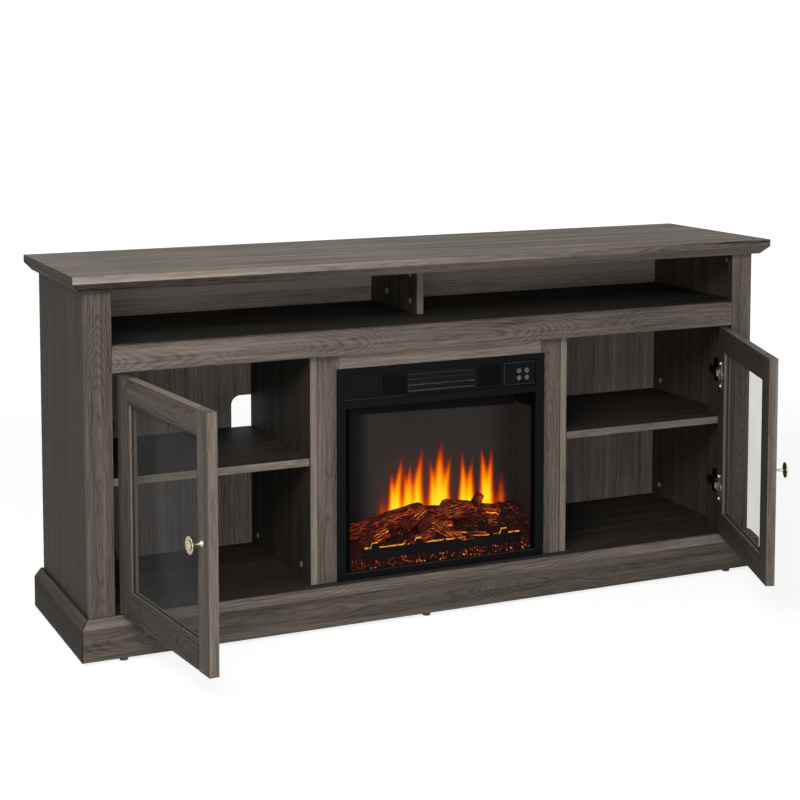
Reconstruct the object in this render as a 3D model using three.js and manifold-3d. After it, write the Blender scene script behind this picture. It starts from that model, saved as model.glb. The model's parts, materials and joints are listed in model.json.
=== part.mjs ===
// Fireplace TV stand: a wide media cabinet with two glazed doors, open media
// compartments under the top, and an electric fire insert between the doors.
// Millimetres, +Z up. The origin is on the floor under the centre leg, midway
// between the front and the back of the carcass. The front faces -Y.
import * as THREE from "three";
import { mergeVertices } from "three/addons/utils/BufferGeometryUtils.js";
import Module from "manifold-3d";

const wasm = await Module();
wasm.setup();

// Overall cabinet
const topWidth = 1524;
const cabinetHeight = 721.5;
const bodyDepth = 360;
const topSideOverhang = 28.5;
const topFrontOverhang = 27.5;
const topBackOverhang = 3;

// Boards
const boardThickness = 16;
const faceThickness = 18;
const topThickness = 15;
const shelfThickness = 15;
const backThickness = 3;
const edgeEasing = 0.8;
const jointGap = 0.3;
const cutOverrun = 5;

// Cornice and plinth mouldings
const corniceHeight = 16.5;
const corniceChamfer = 16;
const plinthHeight = 76.5;
const plinthProud = 18.5;
const plinthChamferHeight = 16;
const plinthChamferDepth = 13;

// Face frame and inner layout
const stileWidth = 50;
const railHeight = 50;
const mediaClearHeight = 104;
const mediaDividerSetback = 125;
const battenDepth = 63;
const fireOpeningWidth = 450;
const fireHeaderHeight = 70;
const fireStileWidth = 46;
const shelfTopHeight = 335;
const shelfSetback = 20;
const shelfSideClearance = 1;
const shelfBackClearance = 3;

// Shelf pins
const pinRadius = 2.5;
const pinReach = 9;
const pinSetIn = 45;
const pinSides = 10;

// Glides and centre leg
const glideHeight = 6;
const glideRadius = 8;
const glideInset = 62;
const glideSides = 16;
const midGlideOffset = 49;
const legFootRadius = 22;
const legFootHeight = 9;
const legStemRadius = 13;
const legPlateRadius = 32;
const legPlateThickness = 4;
const legSides = 24;

// Cable holes in the back panel
const cableHoleWidth = 80;
const cableHoleHeight = 100;
const cableHoleCorner = 20;
const cableHoleLowZ = 301;
const cableHoleOuterX = 330;

// Doors
const doorSideGap = 2;
const doorEndGap = 2.5;
const doorStopGap = 1;
const doorCover = 8;
const doorMember = 50;
const doorBevelWidth = 6;
const doorBevelDepth = 4;
const doorGlassThickness = 4;
const doorGlassBehindFace = 8;
const doorGrooveDepth = 8;
const leftDoorRestDegrees = 84.2;
const rightDoorRestDegrees = 68.8;

// Concealed hinges
const hingeSpacing = 246;
const hingeInset = 6;
const hingeStandOff = 2;
const cupRadius = 17.5;
const cupDepth = 13.2;
const cupWall = 1.2;
const cupCentreFromEdge = 22.5;
const cupFlangeHeight = 62;
const cupFlangeWidth = 22;
const cupFlangeThickness = 1.6;
const cupFlangeCorner = 6;
const cupSides = 20;
const neckHeight = 14;
const neckThickness = 3;
const neckStartDegrees = 74;
const neckEndDegrees = 158;
const neckSteps = 14;
const lipThickness = 1.1;
const lipInset = 2.5;
const lipReach = 7.4;
const lipDepth = 4.5;
const lipSides = 72;
const armPlateThickness = 2.5;
const armPlateHeight = 50;
const armPlateDepth = 18;
const armPlateBack = 50;
const armHeight = 14;
const armFrontBack = 21;
const armShoulderBack = 38;
const armRearBack = 74;
const armSlimReach = 6;
const armReach = 13;
const screwHeadRadius = 4;
const screwHeadHeight = 1.6;
const screwHeadSides = 10;
const plateScrewSpacing = 34;

// Knobs
const knobFromEdge = 25;
const knobCollarRadius = 6;
const knobCollarHeight = 3;
const knobStemRadius = 3;
const knobDiscRadius = 16;
const knobDiscThickness = 4;
const knobProjection = 27;
const knobDomeRadius = 8;
const knobLobes = 12;
const knobLobeDepth = 1.1;
const knobPointsPerLobe = 6;
const knobSides = 24;

// Insert face
const flangeOverlap = 6.5;
const flangeThickness = 3;
const flangeStand = 0.5;
const collarClearance = 3;
const collarDepth = 8.5;
const glassOpeningWidth = 425;
const glassOpeningFromBottom = 15;
const insertGlassThickness = 4;
const insertGlassLap = 5;
const insertGlassSetback = 7;
const ventWindowHeight = 54;
const ventWindowFromTop = 11.5;
const ventToGlass = 15;
const ventRecess = 4;
const ventPanelThickness = 3;
const ventPanelClearance = 0.4;

// Vent panel
const grilleWidth = 156;
const grilleHeight = 43;
const grilleColumns = 18;
const grilleRows = 5;
const grilleHoleShare = 0.7;
const slotCount = 12;
const slotWidth = 2.2;
const slotHeight = 42;
const slotFieldStart = 81;
const slotPitch = 4.4;

// Buttons
const buttonRadius = 4.8;
const buttonClearance = 0.35;
const buttonProud = 1.4;
const buttonLipReach = 1.2;
const buttonLipThickness = 1;
const buttonTail = 2.4;
const buttonEasing = 0.5;
const buttonPitchX = 18;
const buttonPitchZ = 14.5;
const buttonFieldX = 182.5;
const buttonFieldRise = -2.5;
const buttonSides = 20;

// Insert housing
const shellDepth = 182;
const shellWall = 1.2;
const chamberHeight = 66;
const rearSlotCount = 14;
const rearSlotWidth = 6;
const rearSlotHeight = 30;
const rearSlotPitch = 16;
const glandRadius = 8;
const glandHeight = 9;
const glandBore = 3.5;
const glandFromSide = 40;
const glandFromFloor = 34;
const glandSides = 16;
const bracketThickness = 2;
const bearingClearance = 0.1;
const bracketSides = 20;

// Flame effect
const screenDepthBehindGlass = 96;
const screenThickness = 2.5;
const screenClearance = 2;
const screenHemDepth = 8;
const rotorShaftRadius = 3;
const rotorRadius = 20;
const rotorEndRoom = 18.8;
const rotorRise = 40;
const rotorBehindScreen = 40;
const rotorVanes = 6;
const rotorVaneThickness = 1;
const rotorVaneTurn = 68;
const rotorVaneGapShare = 0.12;
const motorRadius = 22;
const motorLength = 16;
const motorClearance = 1;
const ledBoardWidth = 320;
const ledBoardHeight = 16;
const ledBoardThickness = 1.6;
const ledFromBack = 6;
const ledRise = 24;
const ledCount = 8;
const ledSize = 5;
const ledHeight = 2;

// Blower and heater
const blowerRadius = 22;
const blowerLength = 170;
const blowerShaftRadius = 2.5;
const blowerBehindGrille = 96;
const blowerBlades = 16;
const blowerBladeDepth = 8;
const blowerBladeThickness = 1;
const blowerDiscThickness = 2;
const blowerSides = 24;
const heaterWidth = 160;
const heaterHeight = 46;
const heaterDepth = 16;
const heaterFrameWall = 5;
const heaterBars = 4;
const heaterBarThickness = 2.4;
const heaterTeeth = 20;
const heaterToothShare = 0.5;
const heaterBehindPanel = 9;

// Log set
const logBedWidth = 404;
const logBedHeight = 60;
const logBedClearance = 6;
const logBedCrownShare = 0.55;
const logBedFrontShare = 0.18;
const logSides = 9;
const logRings = 8;
const logKnotShare = 0.08;
const logKnotTurns = 9;
const logTaperShare = 0.2;
const grateBarHeight = 20;
const grateBarDepth = 5;
const grateBarRise = 27;
const grateBarSetback = 8;
const grateReach = 184;
const grateTabs = 5;
const grateTabWidth = 12;
const grateTabHeight = 9;

// Planes worked out from the sizes above
const bodyWidth = topWidth - 2 * topSideOverhang;
const frontY = -bodyDepth / 2;
const backY = bodyDepth / 2;
const rearY = backY - backThickness;
const frameBackY = frontY + faceThickness;
const bayFrontY = frameBackY + doorStopGap;
const topUnderZ = cabinetHeight - topThickness;
const ceilingZ = topUnderZ - corniceHeight;
const mediaFloorZ = ceilingZ - mediaClearHeight;
const mediaUnderZ = mediaFloorZ - boardThickness;
const railBottomZ = mediaFloorZ - railHeight;
const floorZ = glideHeight + plinthHeight;
const floorUnderZ = floorZ - boardThickness;
const sideX = bodyWidth / 2;
const sideInnerX = sideX - boardThickness;
const openingX = sideX - stileWidth;
const fireX = fireOpeningWidth / 2;
const fireTopZ = mediaUnderZ - fireHeaderHeight;
const fireStileX = fireX + fireStileWidth;
const bayX = fireStileX + boardThickness;
const shelfUnderZ = shelfTopHeight - shelfThickness;
const battenBackY = frameBackY + battenDepth;

const doorHingeX = openingX - doorSideGap;
const doorFreeX = bayX - doorCover;
const doorLowZ = floorZ + doorEndGap;
const doorHighZ = railBottomZ - doorEndGap;
const doorMiddleZ = (doorLowZ + doorHighZ) / 2;
const doorBackY = frontY + faceThickness;
const pivotX = doorHingeX - hingeInset;
const pivotY = frontY - hingeStandOff;
const lipRadius = Math.hypot(hingeInset, hingeStandOff + faceThickness) + lipThickness;
const neckRadius = lipRadius + jointGap;
const hingeHeights = {
  upper: doorMiddleZ + hingeSpacing / 2,
  lower: doorMiddleZ - hingeSpacing / 2,
};

const flangeFrontY = bayFrontY - flangeThickness - jointGap;
const flangeX = fireX + flangeOverlap;
const flangeLowZ = floorZ + flangeStand;
const flangeHighZ = fireTopZ + flangeOverlap;
const collarX = fireX - collarClearance;
const collarLowZ = floorZ + collarClearance;
const collarHighZ = fireTopZ - collarClearance;
const collarFrontY = bayFrontY - jointGap;
const collarBackY = collarFrontY + collarDepth;
const glassX = glassOpeningWidth / 2;
const glassLowZ = flangeLowZ + glassOpeningFromBottom;
const ventHighZ = flangeHighZ - ventWindowFromTop;
const ventLowZ = ventHighZ - ventWindowHeight;
const ventMiddleZ = (ventLowZ + ventHighZ) / 2;
const glassHighZ = ventLowZ - ventToGlass;
const ventFrontY = flangeFrontY + ventRecess;
const ventBackY = ventFrontY + ventPanelThickness;
const insertGlassFrontY = flangeFrontY + insertGlassSetback;
const insertGlassBackY = insertGlassFrontY + insertGlassThickness;

const shellFrontY = collarBackY + jointGap;
const shellBackY = shellFrontY + shellDepth;
const chamberFloorZ = collarHighZ - chamberHeight;
const boxFloorZ = collarLowZ + shellWall;
const boxCeilingZ = chamberFloorZ - shellWall;
const screenFrontY = insertGlassBackY + screenDepthBehindGlass;
const screenBackY = screenFrontY + screenThickness;
const rotorY = screenBackY + rotorBehindScreen;
const rotorZ = boxFloorZ + rotorRise;
const motorFaceX = collarX - shellWall - jointGap - motorLength;
const rotorLength = 2 * (motorFaceX - rotorEndRoom);
const blowerY = ventBackY + blowerBehindGrille;
const blowerZ = (chamberFloorZ + collarHighZ) / 2;
const heaterFrontY = ventBackY + heaterBehindPanel;

// Finishes
const finish = (color, roughness, metalness) =>
  new THREE.MeshStandardMaterial({ color, roughness, metalness });
const wood = finish(0x7c736a, 0.62, 0);
const insideWood = finish(0x5a544d, 0.7, 0);
const blackSteel = finish(0x202226, 0.45, 0.3);
const plainSteel = finish(0x8d9094, 0.4, 0.9);
const nickel = finish(0xb4b0a6, 0.3, 1);
const champagne = finish(0xb9a57e, 0.3, 1);
const clearGlass = new THREE.MeshStandardMaterial({
  color: 0xdfe6e6,
  roughness: 0.05,
  transparent: true,
  opacity: 0.25,
});
const smokedGlass = new THREE.MeshStandardMaterial({
  color: 0x30302e,
  roughness: 0.05,
  transparent: true,
  opacity: 0.35,
});
const barkResin = finish(0x4a2f22, 0.8, 0);
const screenFilm = finish(0x3b332d, 0.6, 0);
const blackPlastic = finish(0x1b1c1e, 0.5, 0);
const coil = finish(0xc9c6bf, 0.35, 1);
const greenBoard = finish(0x2f5a3c, 0.5, 0);

// Solids joined, cut and intersected
function solidOf(geometry) {
  const bare = geometry.clone();
  bare.deleteAttribute("normal");
  bare.deleteAttribute("uv");
  const merged = mergeVertices(bare);
  return new wasm.Manifold(
    new wasm.Mesh({
      numProp: 3,
      vertProperties: merged.attributes.position.array,
      triVerts: new Uint32Array(merged.index.array),
    }),
  );
}

function geometryOf(solid) {
  const mesh = solid.getMesh();
  const geometry = new THREE.BufferGeometry();
  geometry.setAttribute(
    "position",
    new THREE.BufferAttribute(new Float32Array(mesh.vertProperties), 3),
  );
  geometry.setIndex(new THREE.BufferAttribute(new Uint32Array(mesh.triVerts), 1));
  geometry.computeVertexNormals();
  return geometry;
}

const join = (first, ...rest) =>
  geometryOf(rest.reduce((sum, piece) => sum.add(solidOf(piece)), solidOf(first)));
const cut = (first, ...rest) =>
  geometryOf(rest.reduce((sum, piece) => sum.subtract(solidOf(piece)), solidOf(first)));
const overlap = (first, second) => geometryOf(solidOf(first).intersect(solidOf(second)));

// A heap of pieces joined, with the pockets sealed inside it filled
function heaped(first, ...rest) {
  const parts = rest.reduce((sum, piece) => sum.add(solidOf(piece)), solidOf(first)).decompose();
  return geometryOf(parts.reduce((best, part) => (part.volume() > best.volume() ? part : best)));
}

// A shape's two axes and its length turned to run along x, y or z
const turns = {
  x: [new THREE.Vector3(0, 1, 0), new THREE.Vector3(0, 0, 1), new THREE.Vector3(1, 0, 0)],
  y: [new THREE.Vector3(0, 0, 1), new THREE.Vector3(1, 0, 0), new THREE.Vector3(0, 1, 0)],
  z: [new THREE.Vector3(1, 0, 0), new THREE.Vector3(0, 1, 0), new THREE.Vector3(0, 0, 1)],
};

function extrude(shape, along, from, to) {
  const geometry = new THREE.ExtrudeGeometry(shape, {
    depth: to - from,
    bevelEnabled: false,
  });
  geometry.translate(0, 0, from);
  return geometry.applyMatrix4(new THREE.Matrix4().makeBasis(...turns[along]));
}

const polygon = (points) => new THREE.Shape(points.map(([u, v]) => new THREE.Vector2(u, v)));

function easedRectangle(u0, u1, v0, v1, easing) {
  return polygon([
    [u0 + easing, v0],
    [u1 - easing, v0],
    [u1, v0 + easing],
    [u1, v1 - easing],
    [u1 - easing, v1],
    [u0 + easing, v1],
    [u0, v1 - easing],
    [u0, v0 + easing],
  ]);
}

function roundedRectangle(path, u0, u1, v0, v1, corner) {
  path.absarc(u1 - corner, v0 + corner, corner, -Math.PI / 2, 0, false);
  path.absarc(u1 - corner, v1 - corner, corner, 0, Math.PI / 2, false);
  path.absarc(u0 + corner, v1 - corner, corner, Math.PI / 2, Math.PI, false);
  path.absarc(u0 + corner, v0 + corner, corner, Math.PI, Math.PI * 1.5, false);
  path.closePath();
  return path;
}

// A board between nominal planes. Each face stays half a joint gap shy of its
// plane, so that boards which share a plane never touch.
function board(along, [x0, x1], [y0, y1], [z0, z1], easing = edgeEasing) {
  const shy = jointGap / 2;
  const spans = { x: [x0, x1], y: [y0, y1], z: [z0, z1] };
  const [u, v] = { x: ["y", "z"], y: ["z", "x"], z: ["x", "y"] }[along];
  const section = easedRectangle(
    spans[u][0] + shy,
    spans[u][1] - shy,
    spans[v][0] + shy,
    spans[v][1] - shy,
    easing,
  );
  return extrude(section, along, spans[along][0] + shy, spans[along][1] - shy);
}

const block = ([x0, x1], [y0, y1], [z0, z1]) => {
  const geometry = new THREE.BoxGeometry(x1 - x0, y1 - y0, z1 - z0);
  return geometry.translate((x0 + x1) / 2, (y0 + y1) / 2, (z0 + z1) / 2);
};

// A cylinder whose axis runs along x, y or z from one plane to another
function rod(along, radius, sides, from, to, [a, b]) {
  const geometry = new THREE.CylinderGeometry(radius, radius, to - from, sides);
  geometry.translate(0, (from + to) / 2, 0);
  if (along === "x") geometry.rotateZ(-Math.PI / 2).translate(0, a, b);
  if (along === "y") geometry.translate(a, 0, b);
  if (along === "z") geometry.rotateX(Math.PI / 2).translate(a, b, 0);
  return geometry;
}

// The mirror image of a right-hand piece
function mirrored(geometry) {
  const flipped = (geometry.index ? geometry.toNonIndexed() : geometry.clone()).scale(-1, 1, 1);
  const position = flipped.attributes.position;
  for (let i = 0; i < position.count; i += 3) {
    for (const read of ["X", "Y", "Z"]) {
      const second = position[`get${read}`](i + 1);
      position[`set${read}`](i + 1, position[`get${read}`](i + 2));
      position[`set${read}`](i + 2, second);
    }
  }
  flipped.computeVertexNormals();
  return flipped;
}

const stand = new THREE.Group();

function add(name, geometry, material, parent = stand) {
  const mesh = new THREE.Mesh(geometry, material);
  mesh.name = name;
  parent.add(mesh);
}

function addPair(name, rightGeometry, material) {
  add(`${name}_right`, rightGeometry, material);
  add(`${name}_left`, mirrored(rightGeometry), material);
}

// Top board, sub top and the cornice strips round it
function corniceProfile(outer, inner) {
  const inward = Math.sign(inner - outer);
  return polygon([
    [outer, topUnderZ - jointGap / 2],
    [outer + inward * corniceChamfer, ceilingZ],
    [inner, ceilingZ],
    [inner, topUnderZ - jointGap / 2],
  ]);
}

function mitredPlan(points) {
  return extrude(polygon(points), "z", -cutOverrun, cabinetHeight + cutOverrun);
}

function addTop() {
  const outerX = topWidth / 2;
  const outerY = frontY - topFrontOverhang;
  const topBackY = backY + topBackOverhang;
  const topSpanY = [outerY, topBackY];
  add("top_board", board("x", [-outerX, outerX], topSpanY, [topUnderZ, cabinetHeight]), wood);
  add("sub_top", board("x", [-sideX, sideX], [frontY, rearY], [ceilingZ, topUnderZ]), insideWood);

  const frontSection = corniceProfile(outerY, frontY - jointGap / 2);
  const frontStrip = extrude(frontSection, "x", -outerX, outerX);
  const frontPlan = mitredPlan([
    [-outerX + jointGap, outerY - jointGap],
    [outerX - jointGap, outerY - jointGap],
    [sideX - jointGap, frontY],
    [-sideX + jointGap, frontY],
  ]);
  add("cornice_front", overlap(frontStrip, frontPlan), wood);

  const sideSection = corniceProfile(outerX, sideX + jointGap / 2);
  const sideSectionTurned = polygon(sideSection.getPoints().map((p) => [p.y, p.x]));
  const sideStrip = extrude(sideSectionTurned, "y", outerY, backY);
  const sidePlan = mitredPlan([
    [outerX, outerY + jointGap],
    [outerX, backY],
    [sideX, backY],
    [sideX, frontY + jointGap],
  ]);
  addPair("cornice", overlap(sideStrip, sidePlan), wood);
}

// Carcass panels
function sidePanel() {
  const panel = board("z", [sideInnerX, sideX], [frameBackY, rearY], [glideHeight, ceilingZ]);
  const glideX = (sideInnerX + sideX) / 2;
  const glideY = rearY - glideInset;
  const glide = rod("z", glideRadius - edgeEasing, glideSides, 0, glideHeight + cutOverrun, [
    glideX,
    glideY,
  ]);
  return join(panel, glide, ...shelfPins(sideInnerX + cutOverrun, sideInnerX - pinReach));
}

function shelfPins(rootX, tipX) {
  const pinZ = shelfUnderZ - pinRadius - jointGap;
  const pinYs = [battenBackY + pinSetIn, rearY - pinSetIn];
  const span = [Math.min(rootX, tipX), Math.max(rootX, tipX)];
  return pinYs.map((y) => rod("x", pinRadius, pinSides, ...span, [y, pinZ]));
}

function cornerPost() {
  const stile = board("z", [openingX, sideX], [frontY, frameBackY], [glideHeight, ceilingZ]);
  const batten = board(
    "z",
    [openingX, sideInnerX],
    [frameBackY - cutOverrun, battenBackY],
    [floorZ, mediaUnderZ],
  );
  return join(stile, batten);
}

function bottomPanel() {
  const shy = jointGap / 2;
  const plan = polygon([
    [-openingX + shy, frontY + shy],
    [openingX - shy, frontY + shy],
    [openingX - shy, frameBackY + shy],
    [sideInnerX - shy, frameBackY + shy],
    [sideInnerX - shy, rearY - shy],
    [-sideInnerX + shy, rearY - shy],
    [-sideInnerX + shy, frameBackY + shy],
    [-openingX + shy, frameBackY + shy],
  ]);
  return extrude(plan, "z", floorUnderZ + shy, floorZ - shy);
}

function bayShelf() {
  const notch = openingX - shelfSideClearance;
  const outer = sideInnerX - shelfSideClearance;
  const inner = bayX + shelfSideClearance;
  const shelfFrontY = frontY + shelfSetback;
  const shelfBackY = rearY - shelfBackClearance;
  const notchBackY = battenBackY + shelfSideClearance;
  const plan = polygon([
    [inner, shelfFrontY],
    [notch, shelfFrontY],
    [notch, notchBackY],
    [outer, notchBackY],
    [outer, shelfBackY],
    [inner, shelfBackY],
  ]);
  return extrude(plan, "z", shelfUnderZ, shelfTopHeight);
}

function backPanel() {
  const edge = sideX - backThickness / 2;
  const sheet = polygon([
    [floorUnderZ, -edge],
    [topUnderZ - jointGap / 2, -edge],
    [topUnderZ - jointGap / 2, edge],
    [floorUnderZ, edge],
  ]);
  for (const side of [-1, 1]) {
    const ends = [side * cableHoleOuterX, side * (cableHoleOuterX - cableHoleWidth)];
    sheet.holes.push(
      roundedRectangle(
        new THREE.Path(),
        cableHoleLowZ,
        cableHoleLowZ + cableHoleHeight,
        Math.min(...ends),
        Math.max(...ends),
        cableHoleCorner,
      ),
    );
  }
  return extrude(sheet, "y", rearY + jointGap / 2, backY);
}

function addCarcass() {
  addPair("side_panel", sidePanel(), wood);
  addPair("post", cornerPost(), wood);
  const railSpan = [-openingX, openingX];
  add("front_rail", board("x", railSpan, [frontY, frameBackY], [railBottomZ, mediaFloorZ]), wood);
  const innerDepth = [frameBackY, rearY];
  const innerSpan = [-sideInnerX, sideInnerX];
  add("media_shelf", board("x", innerSpan, innerDepth, [mediaUnderZ, mediaFloorZ]), insideWood);
  const dividerSpan = [-boardThickness / 2, boardThickness / 2];
  const dividerDepth = [frontY + mediaDividerSetback, rearY];
  add("media_divider", board("z", dividerSpan, dividerDepth, [mediaFloorZ, ceilingZ]), wood);
  const bayWall = board("z", [fireStileX, bayX], [bayFrontY, rearY], [floorZ, mediaUnderZ]);
  addPair(
    "divider",
    join(bayWall, ...shelfPins(bayX - cutOverrun, bayX + pinReach)),
    wood,
  );
  const fireDepth = [bayFrontY, bayFrontY + boardThickness];
  addPair("fire_stile", board("z", [fireX, fireStileX], fireDepth, [floorZ, mediaUnderZ]), wood);
  add("fire_header", board("x", [-fireX, fireX], fireDepth, [fireTopZ, mediaUnderZ]), wood);
  add("bottom_panel", bottomPanel(), insideWood);
  addPair("shelf", bayShelf(), wood);
  add("back_panel", backPanel(), insideWood);
}

// Plinth mouldings, with the front glides set into the front one
function plinthProfile(outer, inner) {
  const inward = Math.sign(inner - outer);
  return polygon([
    [outer, glideHeight],
    [outer, floorZ - plinthChamferHeight],
    [outer + inward * plinthChamferDepth, floorZ],
    [inner, floorZ],
    [inner, glideHeight],
  ]);
}

function addPlinth() {
  const outerX = sideX + plinthProud;
  const outerY = frontY - plinthProud;
  const frontStrip = extrude(plinthProfile(outerY, frontY - jointGap / 2), "x", -outerX, outerX);
  const frontPlan = mitredPlan([
    [-outerX + jointGap, outerY - jointGap],
    [outerX - jointGap, outerY - jointGap],
    [sideX - jointGap, frontY],
    [-sideX + jointGap, frontY],
  ]);
  const glideY = frontY - plinthProud / 2;
  const glideXs = [-sideX + glideInset, -midGlideOffset, sideX - glideInset];
  const glides = glideXs.map((x) =>
    rod("z", glideRadius, glideSides, 0, glideHeight + cutOverrun, [x, glideY]),
  );
  add("plinth_front", join(overlap(frontStrip, frontPlan), ...glides), wood);

  const sideSection = plinthProfile(outerX, sideX + jointGap / 2);
  const turned = polygon(sideSection.getPoints().map((p) => [p.y, p.x]));
  const sideStrip = extrude(turned, "y", outerY, backY);
  const sidePlan = mitredPlan([
    [outerX, outerY + jointGap],
    [outerX, backY],
    [sideX, backY],
    [sideX, frontY + jointGap],
  ]);
  addPair("plinth", overlap(sideStrip, sidePlan), wood);
}

function addCentreLeg() {
  const topZ = floorUnderZ - jointGap / 2;
  const profile = [
    [0, 0],
    [legFootRadius, 0],
    [legFootRadius, legFootHeight],
    [legStemRadius, legFootHeight],
    [legStemRadius, topZ - legPlateThickness],
    [legPlateRadius, topZ - legPlateThickness],
    [legPlateRadius, topZ],
    [0, topZ],
  ].map(([r, h]) => new THREE.Vector2(r, h));
  const leg = new THREE.LatheGeometry(profile, legSides).rotateX(Math.PI / 2);
  add("centre_leg", leg, blackPlastic);
}

// Door members share one section: bevelled sight edge, glass groove, square back
function memberSection(place) {
  const grooveFront = doorGlassBehindFace - jointGap;
  const grooveBack = doorGlassBehindFace + doorGlassThickness + jointGap;
  return polygon(
    [
      [doorBevelWidth, 0],
      [doorMember - edgeEasing, 0],
      [doorMember, edgeEasing],
      [doorMember, faceThickness],
      [0, faceThickness],
      [0, grooveBack],
      [doorGrooveDepth, grooveBack],
      [doorGrooveDepth, grooveFront],
      [0, grooveFront],
      [0, doorBevelDepth],
    ].map(([across, deep]) => place(across, frontY + deep)),
  );
}

function hingeStile() {
  const innerX = doorHingeX - doorMember;
  const section = memberSection((across, y) => [innerX + across, y]);
  const bar = extrude(section, "z", doorLowZ, doorHighZ);
  const pockets = Object.values(hingeHeights).map((z) =>
    rod(
      "y",
      cupRadius + jointGap,
      cupSides,
      doorBackY - cupDepth - jointGap,
      doorBackY + cutOverrun,
      [doorHingeX - cupCentreFromEdge, z],
    ),
  );
  const notches = Object.values(hingeHeights).map((z) =>
    block(
      [pivotX - lipInset - jointGap, doorHingeX + cutOverrun],
      [doorBackY - lipDepth - jointGap, doorBackY + cutOverrun],
      [z - neckHeight / 2 - jointGap, z + neckHeight / 2 + jointGap],
    ),
  );
  return cut(bar, ...pockets, ...notches);
}

function freeStile() {
  const innerX = doorFreeX + doorMember;
  const section = memberSection((across, y) => [innerX - across, y]);
  return extrude(section, "z", doorLowZ, doorHighZ);
}

function doorRail(top) {
  const innerZ = top ? doorHighZ - doorMember : doorLowZ + doorMember;
  const away = top ? 1 : -1;
  const section = memberSection((across, y) => [y, innerZ + away * across]);
  const from = doorFreeX + doorMember + jointGap;
  return extrude(section, "x", from, doorHingeX - doorMember - jointGap);
}

function doorGlass() {
  const into = doorGrooveDepth - jointGap;
  return block(
    [doorFreeX + doorMember - into, doorHingeX - doorMember + into],
    [frontY + doorGlassBehindFace, frontY + doorGlassBehindFace + doorGlassThickness],
    [doorLowZ + doorMember - into, doorHighZ - doorMember + into],
  );
}

// A knob with a round collar, a waisted stem and a scalloped, domed disc
function scallopedDisc() {
  const outline = new THREE.Shape();
  const steps = knobLobes * knobPointsPerLobe;
  for (let i = 0; i < steps; i += 1) {
    const turn = (i / steps) * 2 * Math.PI;
    const lobe = Math.abs(Math.cos((turn * knobLobes) / 2));
    const radius = knobDiscRadius - knobLobeDepth * (1 - lobe);
    const point = [radius * Math.cos(turn), radius * Math.sin(turn)];
    if (i === 0) outline.moveTo(...point);
    else outline.lineTo(...point);
  }
  return outline;
}

function knob() {
  const discFoot = knobProjection - knobDiscThickness - knobCollarHeight / 2;
  const crown = knobProjection - knobCollarHeight / 2;
  const body = new THREE.LatheGeometry(
    [
      [0, jointGap],
      [knobCollarRadius, jointGap],
      [knobCollarRadius, knobCollarHeight / 2],
      [knobStemRadius, knobCollarHeight],
      [knobStemRadius, discFoot - knobCollarHeight],
      [knobDomeRadius, discFoot],
      [knobDomeRadius, crown],
      [knobStemRadius, knobProjection],
      [0, knobProjection],
    ].map(([r, h]) => new THREE.Vector2(r, h)),
    knobSides,
  ).rotateX(Math.PI / 2);
  const disc = extrude(scallopedDisc(), "z", discFoot, crown);
  const placed = join(body, disc).rotateX(Math.PI / 2);
  return placed.translate(doorFreeX + knobFromEdge, frontY, doorMiddleZ);
}

// Door side of a concealed hinge: cup, flange and a lip whose round back runs
// against the neck of the arm
function hingeCup(z) {
  const centreX = doorHingeX - cupCentreFromEdge;
  const seatY = doorBackY + jointGap;
  const flangeTopY = seatY + cupFlangeThickness;
  const bowlFloorY = doorBackY - cupDepth;
  const bowl = rod("y", cupRadius, cupSides, bowlFloorY, flangeTopY, [centreX, z]);
  const flangeShape = roundedRectangle(
    new THREE.Shape(),
    z - cupFlangeHeight / 2,
    z + cupFlangeHeight / 2,
    centreX - cupFlangeWidth / 2,
    centreX + cupFlangeWidth / 2,
    cupFlangeCorner,
  );
  const flange = extrude(flangeShape, "y", seatY, flangeTopY);
  const hollow = rod(
    "y",
    cupRadius - cupWall,
    cupSides,
    bowlFloorY + cupWall,
    flangeTopY + cutOverrun,
    [centreX, z],
  );
  const screws = [-1, 1].map((end) =>
    rod(
      "y",
      screwHeadRadius,
      screwHeadSides,
      flangeTopY - cupFlangeThickness / 2,
      flangeTopY + screwHeadHeight,
      [centreX, z + (end * (cupFlangeHeight + 2 * cupRadius)) / 4],
    ),
  );
  const lip = overlap(
    rod("z", lipRadius, lipSides, z - neckHeight / 2, z + neckHeight / 2, [pivotX, pivotY]),
    block(
      [pivotX - lipInset, pivotX + lipReach],
      [doorBackY - lipDepth, pivotY + lipRadius],
      [z - neckHeight, z + neckHeight],
    ),
  );
  return join(cut(join(bowl, flange), hollow), lip, ...screws);
}

// Cabinet side of a concealed hinge: winged plate and stepped arm on the batten,
// ending in a curved neck round the pivot that goes into the cup as the door shuts
function hingeNeck(z) {
  const outline = [];
  const radii = [neckRadius, neckRadius + neckThickness];
  for (const radius of radii) {
    const edge = [];
    for (let i = 0; i <= neckSteps; i += 1) {
      const sweep = neckEndDegrees - neckStartDegrees;
      const turn = THREE.MathUtils.degToRad(neckStartDegrees + (i / neckSteps) * sweep);
      edge.push([pivotX + radius * Math.cos(turn), pivotY + radius * Math.sin(turn)]);
    }
    outline.push(...(radius === neckRadius ? edge.reverse() : edge));
  }
  return extrude(polygon(outline), "z", z - neckHeight / 2, z + neckHeight / 2);
}

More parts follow.
